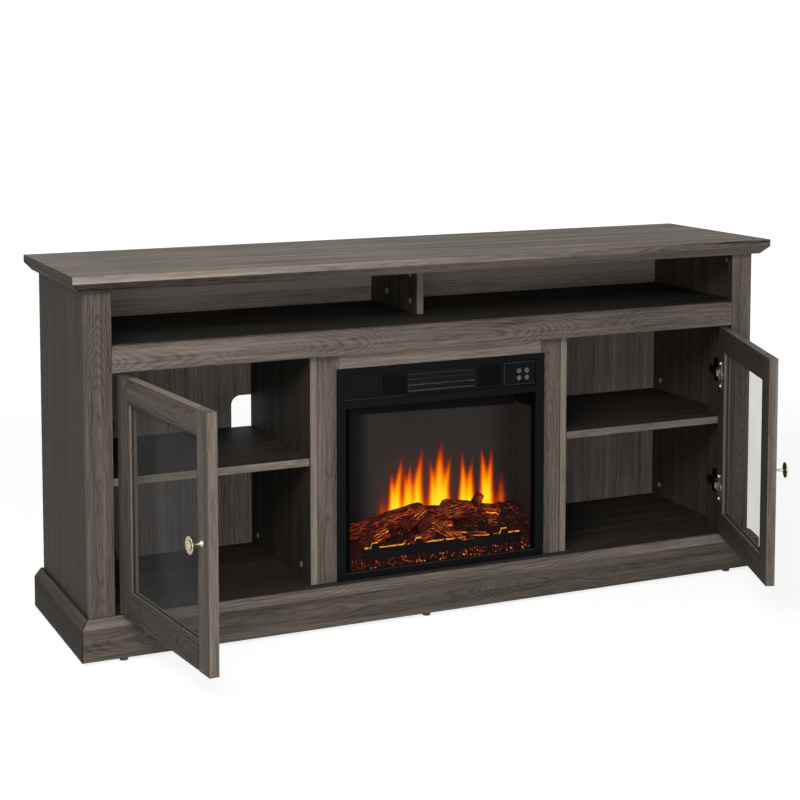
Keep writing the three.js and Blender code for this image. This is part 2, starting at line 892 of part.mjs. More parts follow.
function hingeArm(z) {
  const seatX = openingX - jointGap;
  const plateX = seatX - armPlateThickness;
  const plateMiddleY = frontY + armPlateBack;
  const plate = block(
    [plateX, seatX],
    [plateMiddleY - armPlateDepth / 2, plateMiddleY + armPlateDepth / 2],
    [z - armPlateHeight / 2, z + armPlateHeight / 2],
  );
  const arm = polygon([
    [seatX, frontY + armFrontBack],
    [seatX, frontY + armRearBack],
    [seatX - armSlimReach, frontY + armRearBack],
    [seatX - armReach, frontY + armRearBack - armReach],
    [seatX - armReach, frontY + armShoulderBack],
    [seatX - armSlimReach, frontY + armShoulderBack],
    [seatX - armSlimReach, frontY + armFrontBack],
  ]);
  const screws = [-1, 1].map((end) =>
    rod(
      "x",
      screwHeadRadius,
      screwHeadSides,
      plateX - screwHeadHeight,
      plateX + armPlateThickness / 2,
      [plateMiddleY, z + (end * plateScrewSpacing) / 2],
    ),
  );
  const bar = extrude(arm, "z", z - armHeight / 2, z + armHeight / 2);
  return join(plate, bar, hingeNeck(z), ...screws);
}

function addDoor(side, restDegrees) {
  const hinge = new THREE.Group();
  const turn = side === "right" ? 1 : -1;
  hinge.position.set(turn * pivotX, pivotY, 0);
  hinge.rotation.z = turn * THREE.MathUtils.degToRad(restDegrees);
  stand.add(hinge);
  const hang = (name, geometry, material) => {
    const sided = side === "right" ? geometry : mirrored(geometry);
    add(name, sided.translate(-turn * pivotX, -pivotY, 0), material, hinge);
  };
  hang(`door_${side}_hinge_stile`, hingeStile(), wood);
  hang(`door_${side}_free_stile`, freeStile(), wood);
  hang(`door_${side}_top_rail`, doorRail(true), wood);
  hang(`door_${side}_bottom_rail`, doorRail(false), wood);
  hang(`door_${side}_glass`, doorGlass(), clearGlass);
  hang(`door_${side}_knob`, knob(), champagne);
  for (const [level, z] of Object.entries(hingeHeights)) {
    hang(`hinge_cup_${side}_${level}`, hingeCup(z), nickel);
    const arm = side === "right" ? hingeArm(z) : mirrored(hingeArm(z));
    add(`hinge_arm_${side}_${level}`, arm, nickel);
  }
}

// Insert face: flanged bezel with a vent window over a glass window
function bezel() {
  const flange = extrude(
    easedRectangle(flangeLowZ, flangeHighZ, -flangeX, flangeX, edgeEasing),
    "y",
    flangeFrontY,
    collarFrontY,
  );
  const collarSpanY = [collarFrontY - flangeThickness / 2, collarBackY];
  const collar = block([-collarX, collarX], collarSpanY, [collarLowZ, collarHighZ]);
  const throughY = [flangeFrontY - cutOverrun, collarBackY + cutOverrun];
  const glassWindow = block([-glassX, glassX], throughY, [glassLowZ, glassHighZ]);
  const ventWindow = block([-glassX, glassX], throughY, [ventLowZ, ventHighZ]);
  const lap = insertGlassLap + jointGap;
  const glassPocket = block(
    [-glassX - lap, glassX + lap],
    [insertGlassFrontY - jointGap, collarBackY + cutOverrun],
    [glassLowZ - lap, glassHighZ + lap],
  );
  return cut(join(flange, collar), glassWindow, ventWindow, glassPocket);
}

function buttonPlaces() {
  const names = ["power", "flame", "heat", "timer"];
  return names.map((name, i) => {
    const column = i % 2 ? 1 : -1;
    const row = i < 2 ? 1 : -1;
    const x = buttonFieldX + (column * buttonPitchX) / 2;
    return [name, x, ventMiddleZ + buttonFieldRise + (row * buttonPitchZ) / 2];
  });
}

// Vent panel: vertical slots either side of a square grille, and button holes
function ventHole(x, z, width, height) {
  return block(
    [x - width / 2, x + width / 2],
    [ventFrontY - cutOverrun, ventBackY + cutOverrun],
    [z - height / 2, z + height / 2],
  );
}

function ventSlots() {
  const slots = [];
  for (let i = 0; i < slotCount; i += 1) {
    const x = slotFieldStart + slotWidth / 2 + i * slotPitch;
    slots.push(ventHole(x, ventMiddleZ, slotWidth, slotHeight));
    slots.push(ventHole(-x, ventMiddleZ, slotWidth, slotHeight));
  }
  return slots;
}

function grilleHoles() {
  const pitchX = grilleWidth / grilleColumns;
  const pitchZ = grilleHeight / grilleRows;
  const size = [pitchX * grilleHoleShare, pitchZ * grilleHoleShare];
  const holes = [];
  for (let column = 0; column < grilleColumns; column += 1) {
    for (let row = 0; row < grilleRows; row += 1) {
      const x = (column + 0.5) * pitchX - grilleWidth / 2;
      const z = ventMiddleZ + (row + 0.5) * pitchZ - grilleHeight / 2;
      holes.push(ventHole(x, z, ...size));
    }
  }
  return holes;
}

function ventPanel() {
  const reach = glassX - ventPanelClearance;
  const sheet = block(
    [-reach, reach],
    [ventFrontY, ventBackY],
    [ventLowZ + ventPanelClearance, ventHighZ - ventPanelClearance],
  );
  const buttonHoles = buttonPlaces().map(([, x, z]) =>
    rod(
      "y",
      buttonRadius + buttonClearance,
      buttonSides,
      ventFrontY - cutOverrun,
      ventBackY + cutOverrun,
      [x, z],
    ),
  );
  return cut(sheet, ...ventSlots(), ...grilleHoles(), ...buttonHoles);
}

function pushButton(x, z) {
  const lipY = ventBackY + jointGap;
  const profile = [
    [0, ventFrontY - buttonProud],
    [buttonRadius - buttonEasing, ventFrontY - buttonProud],
    [buttonRadius, ventFrontY - buttonProud + buttonEasing],
    [buttonRadius, lipY],
    [buttonRadius + buttonLipReach, lipY],
    [buttonRadius + buttonLipReach, lipY + buttonLipThickness],
    [buttonRadius, lipY + buttonLipThickness],
    [buttonRadius, lipY + buttonTail],
    [0, lipY + buttonTail],
  ].map(([r, h]) => new THREE.Vector2(r, h));
  return new THREE.LatheGeometry(profile, buttonSides).translate(x, 0, z);
}

function insertGlass() {
  const lap = insertGlassLap;
  return block(
    [-glassX - lap, glassX + lap],
    [insertGlassFrontY, insertGlassBackY],
    [glassLowZ - lap, glassHighZ + lap],
  );
}

// Insert housing: folded sheet box, air chamber over the firebox, bearing brackets
function bearingBracket(x, y, z, shaftRadius, seatZ) {
  const width = 4 * shaftRadius + 2 * bracketThickness;
  const outline = new THREE.Shape();
  outline.moveTo(y - width / 2, seatZ);
  outline.lineTo(y + width / 2, seatZ);
  outline.lineTo(y + width / 2, z);
  outline.absarc(y, z, width / 2, 0, Math.PI, false);
  outline.closePath();
  const plate = extrude(outline, "x", x - bracketThickness / 2, x + bracketThickness / 2);
  const bore = rod(
    "x",
    shaftRadius + bearingClearance,
    bracketSides,
    x - bracketThickness,
    x + bracketThickness,
    [y, z],
  );
  return cut(plate, bore);
}

function shell() {
  const outer = block([-collarX, collarX], [shellFrontY, shellBackY], [collarLowZ, collarHighZ]);
  const innerX = collarX - shellWall;
  const innerSpanY = [shellFrontY - cutOverrun, shellBackY - shellWall];
  const firebox = block([-innerX, innerX], innerSpanY, [boxFloorZ, boxCeilingZ]);
  const chamberSpanZ = [chamberFloorZ, collarHighZ - shellWall];
  const chamber = block([-innerX, innerX], innerSpanY, chamberSpanZ);
  const rearSlots = Array.from({ length: rearSlotCount }, (_, i) => {
    const x = (i - (rearSlotCount - 1) / 2) * rearSlotPitch;
    return block(
      [x - rearSlotWidth / 2, x + rearSlotWidth / 2],
      [shellBackY - cutOverrun, shellBackY + cutOverrun],
      [blowerZ - rearSlotHeight / 2, blowerZ + rearSlotHeight / 2],
    );
  });
  const glandPlace = [collarX - glandFromSide, collarLowZ + glandFromFloor];
  const glandFootY = shellBackY - shellWall / 2;
  const gland = rod("y", glandRadius, glandSides, glandFootY, shellBackY + glandHeight, glandPlace);
  const glandHole = rod(
    "y",
    glandBore,
    glandSides,
    shellBackY - cutOverrun,
    shellBackY + glandHeight + cutOverrun,
    glandPlace,
  );
  const rotorBracketX = rotorLength / 2 - bracketThickness;
  const rotorSeatZ = boxFloorZ - shellWall / 2;
  const blowerBracketX = blowerLength / 2 + blowerDiscThickness + bracketThickness;
  const blowerSeatZ = chamberFloorZ - shellWall / 2;
  const brackets = [
    bearingBracket(-rotorBracketX, rotorY, rotorZ, rotorShaftRadius, rotorSeatZ),
    bearingBracket(rotorBracketX, rotorY, rotorZ, rotorShaftRadius, rotorSeatZ),
    bearingBracket(-blowerBracketX, blowerY, blowerZ, blowerShaftRadius, blowerSeatZ),
    bearingBracket(blowerBracketX, blowerY, blowerZ, blowerShaftRadius, blowerSeatZ),
  ];
  const box = cut(outer, firebox, chamber, ...rearSlots);
  return cut(join(box, gland, ...brackets), glandHole);
}

// Flame effect behind the logs: hemmed screen, vaned rotor, its motor and lamps
function flameScreen() {
  const reach = collarX - shellWall - screenClearance;
  const lowZ = boxFloorZ + jointGap;
  const highZ = boxCeilingZ - jointGap;
  const hemY = screenFrontY + screenHemDepth;
  const section = polygon([
    [screenFrontY, lowZ],
    [hemY, lowZ],
    [hemY, lowZ + screenThickness],
    [screenBackY, lowZ + screenThickness],
    [screenBackY, highZ - screenThickness],
    [hemY, highZ - screenThickness],
    [hemY, highZ],
    [screenFrontY, highZ],
  ]);
  return extrude(section, "x", -reach, reach);
}

function flameRotor() {
  const innerSpan = rotorLength - 4 * bracketThickness - 2 * motorClearance;
  const shaftEndX = motorFaceX + motorLength / 2 - motorClearance;
  const shaft = rod("x", rotorShaftRadius, bracketSides, -rotorLength / 2, shaftEndX, [
    rotorY,
    rotorZ,
  ]);
  const vaneSpan = innerSpan / rotorVanes;
  const vanes = Array.from({ length: rotorVanes }, (_, i) => {
    const start = -innerSpan / 2 + (i + rotorVaneGapShare) * vaneSpan;
    const end = -innerSpan / 2 + (i + 1 - rotorVaneGapShare) * vaneSpan;
    const vane = block(
      [start, end],
      [-rotorRadius, rotorRadius],
      [-rotorVaneThickness / 2, rotorVaneThickness / 2],
    );
    vane.rotateX(THREE.MathUtils.degToRad(i * rotorVaneTurn));
    return vane.translate(0, rotorY, rotorZ);
  });
  return join(shaft, ...vanes);
}

function rotorMotor() {
  const place = [rotorY, rotorZ];
  const body = rod("x", motorRadius, bracketSides, motorFaceX, motorFaceX + motorLength, place);
  const socket = rod(
    "x",
    rotorShaftRadius + bearingClearance,
    bracketSides,
    motorFaceX - cutOverrun,
    motorFaceX + motorLength / 2,
    place,
  );
  return cut(body, socket);
}

function ledBoard() {
  const lowZ = boxFloorZ + ledRise;
  const rearFaceY = shellBackY - shellWall - jointGap;
  const boardBackY = rearFaceY - ledFromBack;
  const boardFrontY = boardBackY - ledBoardThickness;
  const plate = block(
    [-ledBoardWidth / 2, ledBoardWidth / 2],
    [boardFrontY, boardBackY],
    [lowZ, lowZ + ledBoardHeight],
  );
  const middleZ = lowZ + ledBoardHeight / 2;
  const lamps = Array.from({ length: ledCount }, (_, i) => {
    const x = ((i + 0.5) / ledCount - 0.5) * ledBoardWidth;
    return block(
      [x - ledSize / 2, x + ledSize / 2],
      [boardFrontY - ledHeight, boardFrontY + ledBoardThickness / 2],
      [middleZ - ledSize / 2, middleZ + ledSize / 2],
    );
  });
  const posts = [-1, 1].map((end) =>
    rod(
      "y",
      ledSize / 2,
      screwHeadSides,
      boardBackY - ledBoardThickness / 2,
      rearFaceY,
      [end * (ledBoardWidth / 2 - ledSize), middleZ],
    ),
  );
  return join(plate, ...lamps, ...posts);
}

// Cross-flow blower wheel and the ribbon heater in front of it
function blowerWheel() {
  const halfLength = blowerLength / 2;
  const shaftReach = halfLength + blowerDiscThickness + 2 * bracketThickness;
  const shaft = rod("x", blowerShaftRadius, bracketSides, -shaftReach, shaftReach, [0, 0]);
  const discXs = [-halfLength, -blowerDiscThickness / 2, halfLength - blowerDiscThickness];
  const discs = discXs.map((x) =>
    rod("x", blowerRadius, blowerSides, x, x + blowerDiscThickness, [0, 0]),
  );
  const blades = Array.from({ length: blowerBlades }, (_, i) => {
    const blade = block(
      [-halfLength + blowerDiscThickness / 2, halfLength - blowerDiscThickness / 2],
      [blowerRadius - blowerBladeDepth, blowerRadius - edgeEasing],
      [-blowerBladeThickness / 2, blowerBladeThickness / 2],
    );
    return blade.rotateX((i / blowerBlades) * 2 * Math.PI);
  });
  return join(shaft, ...discs, ...blades).translate(0, blowerY, blowerZ);
}

function heaterElement() {
  const lowZ = chamberFloorZ + jointGap;
  const highZ = lowZ + heaterHeight;
  const half = heaterWidth / 2;
  const backFaceY = heaterFrontY + heaterDepth;
  const outer = block([-half, half], [heaterFrontY, backFaceY], [lowZ, highZ]);
  const inner = block(
    [-half + heaterFrameWall, half - heaterFrameWall],
    [heaterFrontY - cutOverrun, backFaceY + cutOverrun],
    [lowZ + heaterFrameWall, highZ - heaterFrameWall],
  );
  const clearHeight = heaterHeight - 2 * heaterFrameWall;
  const toothPitch = (heaterWidth - 2 * heaterFrameWall) / heaterTeeth;
  const ribbons = Array.from({ length: heaterBars }, (_, bar) => {
    const z = lowZ + heaterFrameWall + ((bar + 0.5) * clearHeight) / heaterBars;
    const near = heaterFrontY + heaterFrameWall / 2;
    const far = backFaceY - heaterFrameWall / 2;
    const top = [];
    const bottom = [];
    for (let i = 0; i <= heaterTeeth; i += 1) {
      const x = -half + heaterFrameWall / 2 + i * toothPitch;
      const y = i % 2 ? near : far;
      top.push([x, y]);
      bottom.unshift([x, y + heaterBarThickness]);
    }
    top.push([half - heaterFrameWall / 2, far]);
    bottom.unshift([half - heaterFrameWall / 2, far + heaterBarThickness]);
    const ribbonHalf = (clearHeight / heaterBars) * heaterToothShare * 0.5;
    return extrude(polygon([...top, ...bottom]), "z", z - ribbonHalf, z + ribbonHalf);
  });
  return join(cut(outer, inner), ...ribbons);
}

// Moulded log set: ember mound, grate bar with tabs, and a stack of split logs.
// Places are shares of the bed's half width, depth and height.
const logShares = [
  { at: [-0.47, 0.68, 1.18], long: 1.0, thick: 0.37, yaw: 3, pitch: 13 },
  { at: [0.55, 0.66, 1.3], long: 0.86, thick: 0.4, yaw: -4, pitch: -15 },
  { at: [0.15, 0.6, 1.3], long: 0.66, thick: 0.37, yaw: 10, pitch: 2 },
  { at: [-0.62, 0.36, 0.85], long: 0.46, thick: 0.27, yaw: -8, pitch: 18 },
  { at: [-0.12, 0.42, 1.36], long: 0.4, thick: 0.28, yaw: 10, pitch: 16 },
  { at: [0.12, 0.38, 0.9], long: 0.7, thick: 0.3, yaw: 8, pitch: -13 },
  { at: [0.55, 0.36, 0.88], long: 0.6, thick: 0.28, yaw: -6, pitch: -10 },
  { at: [0.6, 0.7, 1.72], long: 0.3, thick: 0.25, yaw: 0, pitch: -18 },
];

function splitLog(length, radius, seed) {
  const points = [new THREE.Vector2(0, -length / 2)];
  for (let ring = 0; ring <= logRings; ring += 1) {
    const along = ring / logRings;
    const knots = 1 + logKnotShare * Math.sin(seed + along * logKnotTurns);
    const taper = 1 - logTaperShare * along;
    points.push(new THREE.Vector2(radius * knots * taper, (along - 0.5) * length));
  }
  points.push(new THREE.Vector2(0, length / 2));
  return new THREE.LatheGeometry(points, logSides).rotateZ(-Math.PI / 2);
}

function logSet() {
  const half = logBedWidth / 2;
  const nearY = collarBackY + logBedClearance;
  const farY = screenFrontY - logBedClearance;
  const depth = farY - nearY;
  const lowZ = boxFloorZ + jointGap;
  const mound = new THREE.Shape();
  mound.moveTo(nearY, lowZ);
  mound.lineTo(farY, lowZ);
  mound.lineTo(farY, lowZ + logBedHeight);
  mound.quadraticCurveTo(
    nearY + depth * logBedCrownShare,
    lowZ + logBedHeight,
    nearY,
    lowZ + logBedHeight * logBedFrontShare,
  );
  mound.closePath();
  const bed = extrude(mound, "x", -half, half);
  const logs = logShares.map(({ at, long, thick, yaw, pitch }, i) => {
    const piece = splitLog(long * half, thick * logBedHeight, i);
    piece.rotateY(THREE.MathUtils.degToRad(-pitch));
    piece.rotateZ(THREE.MathUtils.degToRad(yaw));
    return piece.translate(at[0] * half, nearY + at[1] * depth, lowZ + at[2] * logBedHeight);
  });
  const barLowZ = lowZ + grateBarRise;
  const barFrontY = nearY + grateBarSetback;
  const barSpanY = [barFrontY, barFrontY + grateBarDepth];
  const barSpanX = [-grateReach, grateReach];
  const bar = block(barSpanX, barSpanY, [barLowZ, barLowZ + grateBarHeight]);
  const tabPitch = (2 * grateReach) / grateTabs;
  const tabs = Array.from({ length: grateTabs }, (_, i) => {
    const x = (i + 0.5) * tabPitch - grateReach;
    return block(
      [x - grateTabWidth / 2, x + grateTabWidth / 2],
      barSpanY,
      [lowZ, barLowZ + grateBarHeight + grateTabHeight],
    );
  });
  const room = block([-half, half], [nearY, farY], [lowZ, boxCeilingZ]);
  return overlap(heaped(bed, ...logs, bar, ...tabs), room);
}

function addInsert() {
  add("insert_bezel", bezel(), blackSteel);
  add("insert_vent_panel", ventPanel(), blackSteel);
  add("insert_glass", insertGlass(), smokedGlass);
  add("insert_shell", shell(), plainSteel);
  for (const [name, x, z] of buttonPlaces()) {
    add(`button_${name}`, pushButton(x, z), blackPlastic);
  }
  add("flame_screen", flameScreen(), screenFilm);
  add("log_set", logSet(), barkResin);
  add("flame_rotor", flameRotor(), plainSteel);
  add("rotor_motor", rotorMotor(), blackPlastic);
  add("led_board", ledBoard(), greenBoard);
  add("blower_wheel", blowerWheel(), plainSteel);
  add("heater_element", heaterElement(), coil);
}

addTop();
addCarcass();
addPlinth();
addCentreLeg();
addDoor("left", leftDoorRestDegrees);
addDoor("right", rightDoorRestDegrees);
addInsert();

export default stand;
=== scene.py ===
"""Looks of the fireplace TV stand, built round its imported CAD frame. Metres."""
import json
import math

import bmesh
import bpy
from mathutils import Matrix, Vector, noise

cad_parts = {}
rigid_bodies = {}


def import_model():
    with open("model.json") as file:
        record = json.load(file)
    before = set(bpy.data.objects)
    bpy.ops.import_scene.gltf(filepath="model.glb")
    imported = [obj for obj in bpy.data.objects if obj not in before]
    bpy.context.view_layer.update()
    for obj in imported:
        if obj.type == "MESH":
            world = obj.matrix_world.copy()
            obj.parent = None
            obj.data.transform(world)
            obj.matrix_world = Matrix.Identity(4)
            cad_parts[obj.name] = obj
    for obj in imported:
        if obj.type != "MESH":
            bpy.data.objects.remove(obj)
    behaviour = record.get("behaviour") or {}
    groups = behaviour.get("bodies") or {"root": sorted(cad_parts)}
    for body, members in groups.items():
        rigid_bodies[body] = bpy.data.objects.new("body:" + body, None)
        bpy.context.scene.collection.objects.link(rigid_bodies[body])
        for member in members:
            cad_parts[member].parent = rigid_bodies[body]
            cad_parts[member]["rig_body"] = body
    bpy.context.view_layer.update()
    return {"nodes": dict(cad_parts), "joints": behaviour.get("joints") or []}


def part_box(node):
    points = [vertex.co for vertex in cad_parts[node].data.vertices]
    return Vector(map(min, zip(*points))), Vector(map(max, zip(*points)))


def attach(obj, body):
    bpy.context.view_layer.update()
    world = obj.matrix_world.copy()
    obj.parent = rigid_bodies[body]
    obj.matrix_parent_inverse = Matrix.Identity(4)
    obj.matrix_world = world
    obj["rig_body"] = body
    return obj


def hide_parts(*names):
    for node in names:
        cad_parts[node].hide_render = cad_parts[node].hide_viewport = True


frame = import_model()
nodes = frame["nodes"]
body_of_node = {name: made["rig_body"] for name, made in nodes.items()}
hinge_of = {joint["child"]: joint for joint in frame["joints"]}
SIDES = ("left", "right")


def rgb(red, green, blue):
    """A linear colour with full alpha from 0-255 screen values."""
    linear = []
    for value in (red, green, blue):
        c = value / 255
        linear.append(c / 12.92 if c <= 0.04045 else ((c + 0.055) / 1.055) ** 2.4)
    return (*linear, 1.0)


def dimmed(tint, share):
    return tuple(c * share for c in tint[:3]) + (1.0,)


def clamp(value):
    return max(0.0, min(1.0, value))


class Net:
    """The nodes of a material or world, made one call at a time."""

    def __init__(self, owner):
        self.owner = owner
        owner.use_nodes = True
        self.tree = owner.node_tree
        self.tree.nodes.clear()

    def add(self, kind, inputs=None, **settings):
        made = self.tree.nodes.new(kind)
        for key, value in settings.items():
            setattr(made, key, value)
        for key, value in (inputs or {}).items():
            self.feed(made, key, value)
        return made

    def feed(self, node, key, value):
        socket = node.inputs[key]
        if isinstance(value, bpy.types.NodeSocket):
            self.tree.links.new(value, socket)
        else:
            socket.default_value = value

    def math(self, operation, *values, clamp=False):
        made = self.add("ShaderNodeMath", operation=operation, use_clamp=clamp)
        for i, value in enumerate(values):
            self.feed(made, i, value)
        return made.outputs[0]

    def plus(self, a, b, **options):
        return self.math("ADD", a, b, **options)

    def minus(self, a, b):
        return self.math("SUBTRACT", a, b)

    def times(self, a, b, **options):
        return self.math("MULTIPLY", a, b, **options)

    def scale_add(self, value, by, start, **options):
        return self.math("MULTIPLY_ADD", value, by, start, **options)

    def size(self, value):
        return self.math("ABSOLUTE", value)

    def noise(self, vector, scale, detail=3.0, rough=0.5):
        inputs = {"Vector": vector, "Scale": scale, "Detail": detail, "Roughness": rough}
        return self.add("ShaderNodeTexNoise", inputs).outputs["Fac"]

    def cells(self, vector, scale, **settings):
        inputs = {"Vector": vector, "Scale": scale}
        return self.add("ShaderNodeTexVoronoi", inputs, **settings).outputs

    def vector(self, x, y, z):
        return self.add("ShaderNodeCombineXYZ", {"X": x, "Y": y, "Z": z}).outputs[0]

    def stretched(self, at, x, y, z):
        """The point with each of its three coordinates scaled."""
        return self.vector(*(self.times(value, by) for value, by in zip(at, (x, y, z))))

    def place(self):
        """The shaded point of the object, whole and as X, Y and Z."""
        point = self.add("ShaderNodeTexCoord").outputs["Object"]
        return point, self.add("ShaderNodeSeparateXYZ", {0: point}).outputs

    def stored(self, name):
        return self.add("ShaderNodeAttribute", attribute_name=name).outputs["Fac"]

    def ramp(self, factor, stops):
        made = self.add("ShaderNodeValToRGB", {"Fac": factor})
        elements = made.color_ramp.elements
        while len(elements) < len(stops):
            elements.new(0.5)
        for element, (position, value) in zip(elements, stops):
            element.position = position
            element.color = value
        return made.outputs["Color"]

    def band(self, value, low, high, to_low=0.0, to_high=1.0):
        """A smooth step from to_low at low to to_high at high."""
        made = self.add(
            "ShaderNodeMapRange",
            {0: value, 1: low, 2: high, 3: to_low, 4: to_high},
            interpolation_type="SMOOTHSTEP",
        )
        return made.outputs[0]

    def bump(self, height, distance, strength=1.0):
        inputs = {"Height": height, "Distance": distance, "Strength": strength}
        return self.add("ShaderNodeBump", inputs).outputs[0]

    def mix(self, share, first, second):
        return self.add("ShaderNodeMixShader", {0: share, 1: first, 2: second}).outputs[0]

    def principled(self, **inputs):
        keyed = {key.replace("_", " "): value for key, value in inputs.items()}
        return self.add("ShaderNodeBsdfPrincipled", keyed).outputs[0]

    def surface(self, shader):
        self.add("ShaderNodeOutputMaterial", {"Surface": shader})
        return self.owner

    def glowing(self, base, rough, tint, strength, shine=0.1, **more):
        """A rough surface that also sends out light of its own."""
        shader = self.principled(
            Base_Color=base,
            Roughness=rough,
            Specular_IOR_Level=shine,
            Emission_Color=tint,
            Emission_Strength=strength,
            **more,
        )
        return self.surface(shader)


def paint(name):
    return Net(bpy.data.materials.new(name))


# Wood-grain laminate: growth rings cut flat, streaks, fibres and dark pores.
# Each tone is dark, middle and light; GRAIN gives the axes along, across and into a board.
# Face is the laminate itself and back the back panel's own. Top, side, inner, shelf, rear and
# dark are the same laminate made darker as painted shade, and edge is it made lighter as painted
# light on banded edges.
WOOD = {
    "face": (rgb(76, 69, 62), rgb(112, 103, 95), rgb(142, 131, 121)),
    "edge": (rgb(92, 84, 76), rgb(126, 116, 106), rgb(152, 141, 130)),
    "top": (rgb(58, 52, 46), rgb(98, 90, 83), rgb(136, 127, 118)),
    "side": (rgb(56, 50, 43), rgb(80, 72, 63), rgb(99, 90, 79)),
    "inner": (rgb(58, 53, 48), rgb(90, 83, 75), rgb(112, 104, 95)),
    "shelf": (rgb(34, 31, 28), rgb(50, 46, 42), rgb(66, 60, 55)),
    "rear": (rgb(44, 40, 36), rgb(64, 59, 54), rgb(82, 76, 70)),
    "dark": (rgb(28, 26, 23), rgb(46, 43, 39), rgb(62, 58, 53)),
    "back": (rgb(80, 74, 68), rgb(114, 106, 99), rgb(140, 131, 122)),
}
WOOD_PORE = rgb(30, 27, 24)
GRAIN = {"x": ("X", "Z", "Y"), "y": ("Y", "X", "Z"), "z": ("Z", "X", "Y")}
RING_PITCH = 0.0066
HEART_ROUND = 0.00012  # how blunt the rings' tips are where they close over the heart
HEART_DRIFT = 0.006  # how far the heart may lie from the board's middle line
LOG_STEP = 0.731  # how much farther along the log each seed starts
RING_CLIMB = 0.13
RING_WANDER = 0.17
RING_LEAN = 0.015


def wood(name, centre, tone, grain, seed, figure, arches, shade,
         mitre=None, lifts=(), level_above=None):
    """One board's laminate. figure is how strong its rings are and arches how far they
    bend; lifts lighten or darken it along an axis as painted light and shade; shade
    makes its tone lighter or darker as painted light and shade; the grain lies level above a
    height."""
    net = paint(name)
    _, xyz = net.place()
    run, across, deep = (xyz[axis] for axis in GRAIN[grain])
    if level_above:
        turned = net.band(xyz["Z"], level_above, level_above + 0.001)
        change = net.times(turned, net.minus(across, run))
        run, across = net.plus(run, change), net.minus(across, change)
    middle = dict(zip("XYZ", centre))[GRAIN[grain][1]]
    off = net.minus(across, middle + HEART_DRIFT * math.sin(seed * 2.3))
    heart = net.math("SQRT", net.plus(net.times(off, off), HEART_ROUND))
    shifted = net.plus(run, seed * LOG_STEP)
    at = (shifted, across, deep)

    wander = net.noise(net.vector(shifted, seed * 1.7, 0.0), 3.1, 1.5)
    bend = net.times(net.minus(wander, 0.5), RING_WANDER * arches)
    climb = net.scale_add(shifted, RING_CLIMB * arches * (-1 if seed % 2 else 1), bend)
    warp_at = net.stretched(at, 9.0, 34.0, 1.0)
    lean = net.times(net.minus(net.noise(warp_at, 1.0, 2.0), 0.5), RING_LEAN)
    ring = net.plus(net.plus(heart, climb), net.plus(lean, net.times(deep, 0.4)))
    crest = net.size(net.math("SINE", net.times(ring, math.pi / RING_PITCH)))
    line = net.math("POWER", net.minus(1.0, crest), 1.4)
    line = net.times(line, net.band(net.noise(warp_at, 0.6, 1.0), 0.36, 0.6, 0.2, 1.0))

    streak = net.noise(net.stretched(at, 5.0, 210.0, 210.0), 1.0, 4.0, 0.62)
    broad = net.noise(net.stretched(at, 1.6, 40.0, 40.0), 1.0, 2.0)
    fibre = net.noise(net.stretched(at, 24.0, 560.0, 560.0), 1.0, 2.0, 0.6)
    pore = net.noise(net.stretched(at, 60.0, 1500.0, 1500.0), 1.0, 1.0)
    pore = net.band(pore, 0.6, 0.74)

    value = net.scale_add(line, -0.23 * figure, 0.5 + 0.06 * figure)
    for layer, weight in ((fibre, 0.7), (streak, 0.8), (broad, 0.8)):
        value = net.scale_add(net.minus(layer, 0.5), weight, value)
    # Lifts: painted light and shade along an axis.
    for axis, *change in lifts:
        value = net.plus(value, net.band(xyz[axis], *change))
    value = net.scale_add(pore, -0.16, value, clamp=True)
    if mitre:
        value = net.times(value, mitre_line(net, xyz, *mitre))
    # shade: painted light and shade, the whole tone lighter or darker for how light falls on the
    # board.
    dark, mid, light = (dimmed(step, shade) for step in WOOD[tone])
    shader = net.principled(
        Base_Color=net.ramp(value, [(0.0, WOOD_PORE), (0.16, dark), (0.5, mid), (0.84, light)]),
        Roughness=net.scale_add(streak, 0.2, 0.48),
        Normal=net.bump(net.minus(streak, net.times(pore, 0.5)), 0.00025, 0.6),
        Specular_IOR_Level=0.04,
    )
    return net.surface(shader)


def mitre_line(net, xyz, x, y):
    """0 on the joint where two strips meet at 45 degrees, 1 away from it."""
    across = net.minus(net.size(xyz["X"]), x)
    along = net.minus(xyz["Y"], y)
    return net.band(net.size(net.plus(across, along)), 0.0006, 0.0024)


# Metals, plastics and glass
ROSETTE_PETALS = 12
ROSETTE_BOSS = 0.0081


def rosette_brass():
    """Pale brass, with painted shade darkening the grooves between the petals and round the
    boss.
    """
    net = paint("rosette_brass")
    point, (x, y, z) = net.place()
    around = net.math("ARCTAN2", z, x)
    reach = net.math("SQRT", net.plus(net.times(x, x), net.times(z, z)))
    wave = net.math("SINE", net.times(around, ROSETTE_PETALS / 2))
    petal = net.band(net.size(wave), 0.0, 0.45)
    outside_boss = net.band(reach, ROSETTE_BOSS - 0.0003, ROSETTE_BOSS + 0.0005)
    on_petals = net.times(outside_boss, net.band(y, -0.0214, -0.0224))
    ring = net.band(net.size(net.minus(reach, ROSETTE_BOSS)), 0.0002, 0.0010)
    # Painted shade: the grooves between the petals and the ring round the boss are darkened.
    groove = net.times(net.minus(1.0, petal), on_petals)
    outside_grooves = net.times(net.minus(1.0, groove), ring)
    cloud = net.noise(point, 260.0, 3.0)
    shade = net.times(outside_grooves, net.scale_add(cloud, 0.4, 0.7), clamp=True)
    stops = [(0.0, rgb(40, 36, 28)), (0.6, rgb(160, 150, 122)), (1.0, rgb(200, 190, 160))]
    shader = net.principled(
        Base_Color=net.ramp(shade, stops),
        Metallic=1.0,
        Roughness=net.scale_add(outside_grooves, -0.2, 0.46),
        Normal=net.bump(outside_grooves, 0.0004, 0.8),
    )
    return net.surface(shader)


